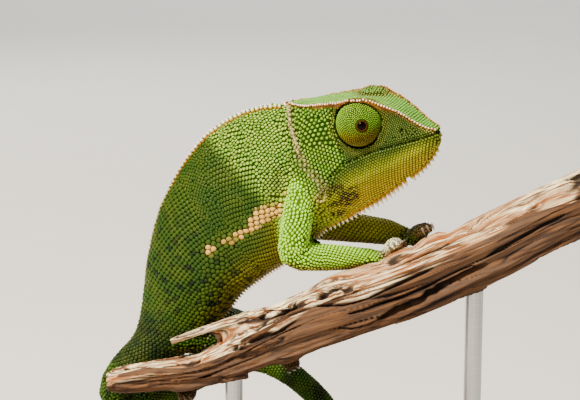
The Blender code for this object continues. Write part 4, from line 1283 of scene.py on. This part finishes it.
eye_finish = eye_material()
EYEBALL_RADIUS, EYEBALL_OUT = 1.5, 4.25
for side in ("left", "right"):
    ball_centre = eye_centres[side] + eye_looks[side] * EYEBALL_OUT
    unselect()
    bpy.ops.mesh.primitive_uv_sphere_add(segments=48, ring_count=32, radius=EYEBALL_RADIUS * MM,
                                         location=ball_centre * MM)
    eye = bpy.context.object
    eye.name = f"eye_{side}"
    settle(eye)
    bpy.ops.object.shade_smooth()
    out = unit(places(eye) - ball_centre)
    from_pupil = np.linalg.norm(np.cross(out, eye_looks[side]), axis=1) * EYEBALL_RADIUS
    write_masks(eye.data, {"from_pupil": from_pupil})
    dress(eye, eye_finish)
    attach(eye, "root")
    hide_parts(f"eyeball_{side}")
say("eyeballs: 2")

# %% Claws
def horn_material():
    """Claw horn: worn smooth, with a low shine, mottled from dark to grey-brown."""
    material, tree, shader = new_material("claw_horn")
    colour = mixed(tree, noise_of(tree, 0.6), "2a2018", "6b5844")
    fill(tree, shader, {"Base Color": colour, "Roughness": 0.32, "IOR": 1.54})
    return material


horn = horn_material()
CLAW_ROOT = 0.9
CLAWS = sorted(node for node, slot in SLOT_OF.items() if slot == "claw_horn")
for node in CLAWS:
    claw = welded_copy([node], f"horn_{node}")
    claw_at = places(claw)
    off_middle = claw_at - claw_at.mean(0)
    long_way = np.linalg.svd(off_middle, full_matrices=False)[2][0]
    along = off_middle @ long_way
    thick = np.linalg.norm(off_middle - along[:, None] * long_way, axis=1)
    first_thick, last_thick = thick[along < along.min() + 0.3].mean(), thick[along > along.max() - 0.3].mean()
    base_way = -long_way if first_thick > last_thick else long_way
    t = step(off_middle @ base_way, 0.2 * np.ptp(along), 0.5 * np.ptp(along))
    move_to(claw, claw_at + base_way * (CLAW_ROOT * t)[:, None])
    add_modifier(claw, "SUBSURF", levels=2, render_levels=2)
    finish_modifiers(claw)
    bpy.ops.object.shade_smooth()
    dress(claw, horn)
    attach(claw, "root")
    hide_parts(node)
say("claws:", len(CLAWS))

# %% Hanging the skin on the frame
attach(skin, "root")
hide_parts(*FLESH)
for side, obj in turrets.items():
    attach(obj, "root")
    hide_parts(f"eye_turret_{side}")
for obj in [*coats, *turret_scales.values()]:
    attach(obj, "root")
bpy.data.objects.remove(flesh)
say("pieces of the animal's coat:", len(coats) + len(turret_scales))

# %% [markdown]
# ## The perch
# The perch is a dead branch. Its top is pale cream and silver and its underside brown: partly the sun's
# real bleaching, partly painted sunlight above and painted shade below. It has split along the grain as it
# dried. A fine remesh of the solid is carved along the grain, inwards only. Each vertex also keeps its place
# along and across the wood, so the painted grain follows the bends.

# %% The wood and its lines
# The middle of the branch, and its knots with their sizes.
PERCH = [
    (-46.7, -4.5, -46.2), (-44.5, -4.7, -45.8), (-35, -5.6, -44), (-22.4, -7, -42), (-9.9, -8.2, -36.6),
    (2.5, -9, -30.1), (14.8, -9.6, -25), (27.2, -9.7, -20.4), (39.5, -9.4, -14.6), (51.8, -9, -8.5),
    (64, -8.6, -2), (77.5, -8.2, 4.4),
]
KNOTS = [
    ((13.6, -15.3, -17.9), 1.4), ((7.3, -14.5, -19.9), 1), ((58.3, -15.1, 2.7), 1.3),
    ((43.3, -12.5, -2.8), 0.9), ((28.6, -18.2, -23.2), 1.2),
]
# Long splits on the near side: points, half width and depth.
SPLITS = [
    ([(-13.3, -11.8, -29.3), (-7.4, -12.2, -26.4), (-2.2, -13.3, -23.8), (2.9, -13.8, -21.5)], 0.62, 1.8),
    ([(3.9, -14.5, -21.4), (9.8, -14, -18.4), (14.7, -13.2, -15.9), (19.5, -13.6, -14.3),
      (23.7, -13.4, -12.6), (31.4, -14.1, -9.4), (40, -14.3, -5.4)], 0.6, 1.4),
    ([(-13.6, -13.4, -33.7), (-6.9, -15.4, -30.5), (0, -17.2, -28)], 0.5, 1.2),
    ([(4.4, -16.2, -22.9), (13.3, -17.6, -21.8), (18.4, -17.9, -20.5), (27.8, -17.7, -16.3),
      (36.7, -17.6, -11.8)], 0.4, 1.5),
    ([(12.1, -18.3, -25.4), (24.2, -18.6, -21.3), (36.2, -18.6, -16.3), (45.8, -18.3, -11.9)], 0.45, 1.8),
    ([(19.9, -18, -27.2), (23.8, -18.1, -25.4), (29.1, -18.2, -22.9), (36.3, -18.2, -19.1),
      (43.5, -18.1, -15.4), (48.8, -17.8, -13)], 0.8, 3.6),
    ([(9.7, -18.4, -29.2), (17, -18, -28.5), (23.8, -17.8, -26.5)], 0.35, 1.2),
    ([(45.8, -18.3, -11.4), (55.3, -17.8, -6.1), (68.4, -17.3, 0.7)], 0.45, 1.6),
    ([(-38.7, -9, -41.8), (-29.9, -9.2, -39.4), (-21.1, -11.4, -37.4)], 0.5, 1),
]
# The edge of the pale top on the near side, where the wood turns from sun-bleaching and painted sunlight
# to brown with painted shade, and a brown band higher up.
SUN_LINE = [
    (-44.6, -9, -45.2), (-37.4, -10.4, -44.2), (-29.8, -11.3, -42.3), (-17.3, -13.7, -38.5),
    (-13.3, -13.6, -33.9), (-5.4, -15.7, -29.7), (4.4, -16.2, -22.9), (9.7, -16.8, -21.5),
    (18.4, -17.9, -20.5), (36.7, -17.5, -11.6), (48.2, -17.4, -6.2), (57.7, -17.3, -1.7),
    (68.3, -17.1, 3.6),
]
BROWN_BAND = [(-14.3, -11.6, -29.8), (-7.9, -12.4, -26.8), (-2.5, -13.7, -24.4), (3.4, -14.7, -21.9)]
say("splits:", len(SPLITS), "knots:", len(KNOTS))

# %% Places along the grain
WOOD_GRAIN, AXIS_STEP = 0.38, 0.5
wood = welded_copy(["perch"], "driftwood")
add_modifier(wood, "REMESH", mode="VOXEL", voxel_size=WOOD_GRAIN * MM)
add_modifier(wood, "SMOOTH", factor=0.5, iterations=4)
finish_modifiers(wood)
wood_at, wood_out = places(wood), normals(wood)
axis = curve(np.array(PERCH) + SHOULDERS, AXIS_STEP)
axis_way = unit(np.gradient(axis, axis=0))
UP = np.array([0.0, 0.0, 1.0])
axis_up = unit(UP - axis_way * (axis_way @ UP)[:, None])
at = nearest(tree_at(axis), wood_at)
off = wood_at - axis[at]
along, across, up = ((off * ways[at]).sum(1) for ways in (axis_way, np.cross(axis_way, axis_up), axis_up))
along = at * AXIS_STEP + along
twist = np.radians(along * 0.45)
cosine, sine = np.cos(twist), np.sin(twist)
grain = np.stack([along, across * cosine - up * sine, across * sine + up * cosine], axis=1)
say("vertices of the wood:", len(wood_at))

# %% Cracks, slabs and ledges along the grain
def fibre(long, wide, seed=0.0):
    """Noise that runs along the grain: long and wide are its sizes in millimetres."""
    return ripple(grain * np.array([1 / long, 1 / wide, 1 / wide]), 1.0, seed)


crack = step(0.1 - np.abs(fibre(44, 3.0, 3.0)), 0.0, 0.09) * step(fibre(26, 7, 9.0), -0.3, 0.1)
hair = step(0.13 - np.abs(fibre(22, 1.5, 12.0)), 0.0, 0.13) * step(fibre(14, 4, 21.0), -0.1, 0.2)
slabs = step(fibre(45, 4.5, 30.0), -0.06, 0.06)
ledges = step(fibre(60, 6.0, 71.0), -0.03, 0.03)
carve = 0.2 + 1.7 * crack + 0.5 * hair + 0.6 * slabs + 0.9 * ledges + 0.3 * (1 + fibre(12, 1.1, 40.0))
carve += 0.4 * (1 + fibre(20, 9, 50.0))
say("carved along the grain, deepest:", carve.max().round(2))

# %% Splits, knots and the crumbling end
from_shoulders = wood_at - SHOULDERS
near_face = step(-off[:, 1] / np.maximum(np.linalg.norm(off, axis=1), 1e-6), -0.05, 0.25)


def above(line):
    """How far each vertex is above a line along the perch, and 1 between the line's ends."""
    x, _, z = np.array(line).T
    inside = step(from_shoulders[:, 0] - x[0], -1, 2) * step(x[-1] - from_shoulders[:, 0], -1, 2)
    return from_shoulders[:, 2] - np.interp(from_shoulders[:, 0], x, z), inside


WIDE_SPLIT = 5
split = np.zeros(len(wood_at))
wander = wood_at + np.stack([fibre(8, 3, 90.0), fibre(8, 3, 92.0), fibre(8, 3, 94.0)], axis=1) * 0.45
for line, half, deep in SPLITS:
    gap = gap_to(wander, curve(line, 0.4) + SHOULDERS)
    first, last = line[0][0], line[-1][0]
    ends = step(from_shoulders[:, 0] - first, -0.5, 5) * step(last - from_shoulders[:, 0], -0.5, 5)
    half = half * np.maximum(1 + 0.4 * fibre(9, 3, 95.0), 0.3) * np.maximum(ends, 0.05)
    open_here = step(1.3 - gap / half, 0.0, 0.8)
    split = np.maximum(split, open_here)
    carve += deep * open_here
height, inside = above(SPLITS[WIDE_SPLIT][0])
carve += 1.6 * near_face * inside * step(-height, 0.0, 0.4) * step(height, -2.8, -0.4)
crumbly = bump(from_shoulders[:, 0] - 57, 9) * step(-grain[:, 2], 0, 4)
carve += crumbly * (0.5 + 0.7 * (1 + ripple(wood_at, 1.3, 33.0)))
knots = np.zeros(len(wood_at))
for place, size in KNOTS:
    away = np.linalg.norm((from_shoulders - place) * np.array([0.75, 1.0, 1.2]), axis=1)
    knots = np.maximum(knots, step(size - away + 0.9 * fibre(3, 1.2, 80.0), -0.4, 0.9))
    carve += 0.5 * bump(away - size - 0.9, 0.45)
carve += 1.8 * knots * (1 + 0.5 * ripple(wood_at, 1.2, 81.0))
wood_tree = tree_of(wood)
MOST_WOOD = 20.0
behind = [wood_tree.ray_cast(Vector(place - 0.05 * out), Vector(-out), MOST_WOOD)[3] or MOST_WOOD
          for place, out in zip(wood_at, wood_out)]
to_feet = np.array([flesh_tree.find_nearest(Vector(place))[3] for place in wood_at])
carve = np.minimum(carve * (0.15 + 0.85 * step(to_feet, 0.4, 3.5)), 0.3 * np.array(behind))
move_to(wood, wood_at - wood_out * carve[:, None])
add_modifier(wood, "SMOOTH", factor=0.4, iterations=2)
finish_modifiers(wood)
say("driftwood faces:", len(wood.data.polygons))

# %% Where the wood is pale: sun-bleaching and painted sunlight
over_line, along_line = above(SUN_LINE)
over_band, along_band = above(BROWN_BAND)
in_band = along_band * bump(over_band + 0.5 * fibre(12, 2, 64.0), 1.2)
open_sky = np.minimum(0.06 + 0.14 * (over_line + 1.1 * fibre(26, 3, 60.0)), 0.45) - 0.62 * in_band
open_sky -= 0.45 * step(fibre(34, 2.6, 66.0), 0.22, 0.4)
# Faces that turn up are pale and faces that turn down brown: partly sun-bleaching, partly painted sunlight
# above and painted shade below.
bleach_and_sunlight = wood_out[:, 2] - 0.3 * ledges + 0.3 * fibre(30, 3, 60.0)
bleach_and_sunlight += (open_sky - bleach_and_sunlight) * near_face * along_line
dark = np.maximum.reduce([crack, 0.8 * hair, 0.7 * knots, split, 0.5 * crumbly])
write_masks(wood.data, {"crack": dark, "up": bleach_and_sunlight})
grain_places = wood.data.attributes.new("grain", "FLOAT_VECTOR", "POINT").data
grain_places.foreach_set("vector", grain.astype(np.float32).ravel())
pick(wood)
bpy.ops.object.shade_smooth()
say("bleached share of the wood:", (bleach_and_sunlight > 0.06).mean().round(2))

# %% Driftwood
def streaks(tree, where, sizes, detail, rough=0.5):
    """Noise drawn out to these sizes along the three axes."""
    scale = [1 / size for size in sizes]
    stretched = add(tree, "ShaderNodeMapping", {"Vector": where, "Scale": scale}).outputs[0]
    sockets = {"Vector": stretched, "Scale": 1.0, "Detail": detail, "Roughness": rough}
    return add(tree, "ShaderNodeTexNoise", sockets).outputs["Fac"]


def driftwood_material():
    """Dead wood, dry and rough: cream and silver above from sun-bleaching and painted sunlight, warm brown
    below with painted shade, dark in the cracks.
    """
    material, tree, shader = new_material("bleached_driftwood")
    where = mask_of(tree, "grain", "Vector")
    # Real fibres are finer than half a millimetre; thinner streaks wouldn't show.
    fine, broad = (streaks(tree, where, (long, wide, wide), 4.0, 0.6) for long, wide in ((9, 0.5), (30, 2.6)))
    # Pale above and brown below: partly sun-bleaching and the wood's own brown, partly painted sunlight and
    # painted shade.
    bleach_and_sunlight = mixed(tree, spread(tree, fine, 0.42, 0.6), "562e10", "ffecc0")
    bleach_and_sunlight = mixed(tree, spread(tree, broad, 0.44, 0.62, 0.0, 0.72), bleach_and_sunlight, "96561c")
    brown = mixed(tree, spread(tree, fine, 0.3, 0.7), "28160a", "64401f")
    brown = mixed(tree, spread(tree, broad, 0.45, 0.7, 0.0, 0.6), brown, "5a4434")
    colour = mixed(tree, spread(tree, mask_of(tree, "up"), -0.02, 0.14), brown, bleach_and_sunlight)
    colour = mixed(tree, spread(tree, mask_of(tree, "crack"), 0.1, 0.75, 0.0, 0.95), colour, "1c0e06")
    ridged = bumps(tree, 0.7, 0.0004, fine)
    fill(tree, shader, {"Base Color": colour, "Normal": ridged, "Roughness": 0.85, "IOR": 1.45})
    return material


dress(wood, driftwood_material())
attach(wood, "root")
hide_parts("perch")
say("driftwood finished")

# %% Walnut and steel
def base_material():
    """Oiled dark walnut: growth rings about 2.5 mm wide and a low satin shine."""
    material, tree, shader = new_material("oiled_walnut")
    growth = streaks(tree, place_of(tree), (50 * MM, 2.5 * MM, 2.5 * MM), 6.0)
    fill(tree, shader, {
        "Base Color": mixed(tree, spread(tree, growth, 0.3, 0.7), "2e1a10", "6a452b"),
        "Roughness": spread(tree, growth, 0.3, 0.7, 0.45, 0.3), "Normal": bumps(tree, 0.2, 0.0002, growth),
    })
    return material


def steel_material():
    """Brushed steel rod: fine lines round the rod stretch its highlight."""
    material, tree, shader = new_material("brushed_steel")
    # Real brush lines are under 0.1 mm wide; at that width they wouldn't show.
    lines = streaks(tree, place_of(tree), (10 * MM, 10 * MM, 0.2 * MM), 2.0)
    fill(tree, shader, {"Base Color": mixed(tree, lines, "8f9193", "c6c8ca"),
                        "Roughness": spread(tree, lines, 0.3, 0.7, 0.28, 0.42), "Metallic": 1.0})
    return material


for finish, nodes in ((base_material(), ["stand_base"]), (steel_material(), ["stand_rod_1", "stand_rod_2"])):
    for node in nodes:
        for slot in frame["nodes"][node].material_slots:
            slot.material = finish
say("stand finished")

# %% [markdown]
# ## The stage
# A plain pale floor and soft studio lamps. The key lamp is high, as the sun would be, so the crest shades
# the face and each bead of skin gets its own small shadow.

# %% Floor
def finish_floor():
    """Matt pale paper, which takes a soft shadow and sends a little light back up."""
    bpy.ops.mesh.primitive_plane_add(size=6, location=(0, 1.5, 0))
    floor = bpy.context.object
    floor.name = "floor"
    material, tree, shader = new_material("pale_paper")
    paper = mixed(tree, noise_of(tree, 30.0), "dcdad4", "e2e0da")
    fill(tree, shader, {"Base Color": paper, "Roughness": 0.9})
    dress(floor, material)


unselect()
finish_floor()
say("floor laid")

# %% Lights
def lamp(name, place, target, size, power, colour):
    """A square area lamp at a place in metres, turned to a target."""
    light = bpy.data.lights.new(name, "AREA")
    light.size, light.energy, light.color = size, power, linear(colour)[:3]
    obj = new_object(name, light)
    obj.location = place
    obj.rotation_euler = (Vector(target) - Vector(place)).to_track_quat("-Z", "Y").to_euler()


MIDDLE = (-0.01, 0.0, 0.07)
lamp("key", (-0.32, -0.4, 0.7), MIDDLE, 0.12, 22.5, "fff2dc")
lamp("fill", (0.7, -0.9, 0.35), MIDDLE, 0.8, 2.0, "eaf2ff")
lamp("back", (-0.3, 0.8, 0.6), MIDDLE, 0.5, 5.0, "fff8ee")
lamp("backdrop", (0.0, 1.7, 1.6), (0.0, 2.1, 0.0), 1.8, 45.0, "ffffff")
world = bpy.data.worlds.new("studio")
bpy.context.scene.world = world
world.use_nodes = True
fill(world.node_tree, world.node_tree.nodes["Background"], {"Color": "e6e8ea", "Strength": 0.17})
say("lamps:", len(bpy.data.lights))

# %% Camera
CAMERA_DISTANCE, CAMERA_RISE = 430.0, math.radians(12)
camera = new_object("camera", bpy.data.cameras.new("camera"))
camera_way = np.array([0, -math.cos(CAMERA_RISE), math.sin(CAMERA_RISE)])
camera.location = (SHOULDERS + CAMERA_DISTANCE * camera_way) * MM
camera.rotation_euler = (math.radians(90) - CAMERA_RISE, 0, 0)
camera.data.sensor_width = 36
camera.data.lens = 106.75862
camera.data.clip_start = 0.01
bpy.context.scene.camera = camera
say("camera at", [round(v, 3) for v in camera.location])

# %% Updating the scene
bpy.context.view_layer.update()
say("sizes written")
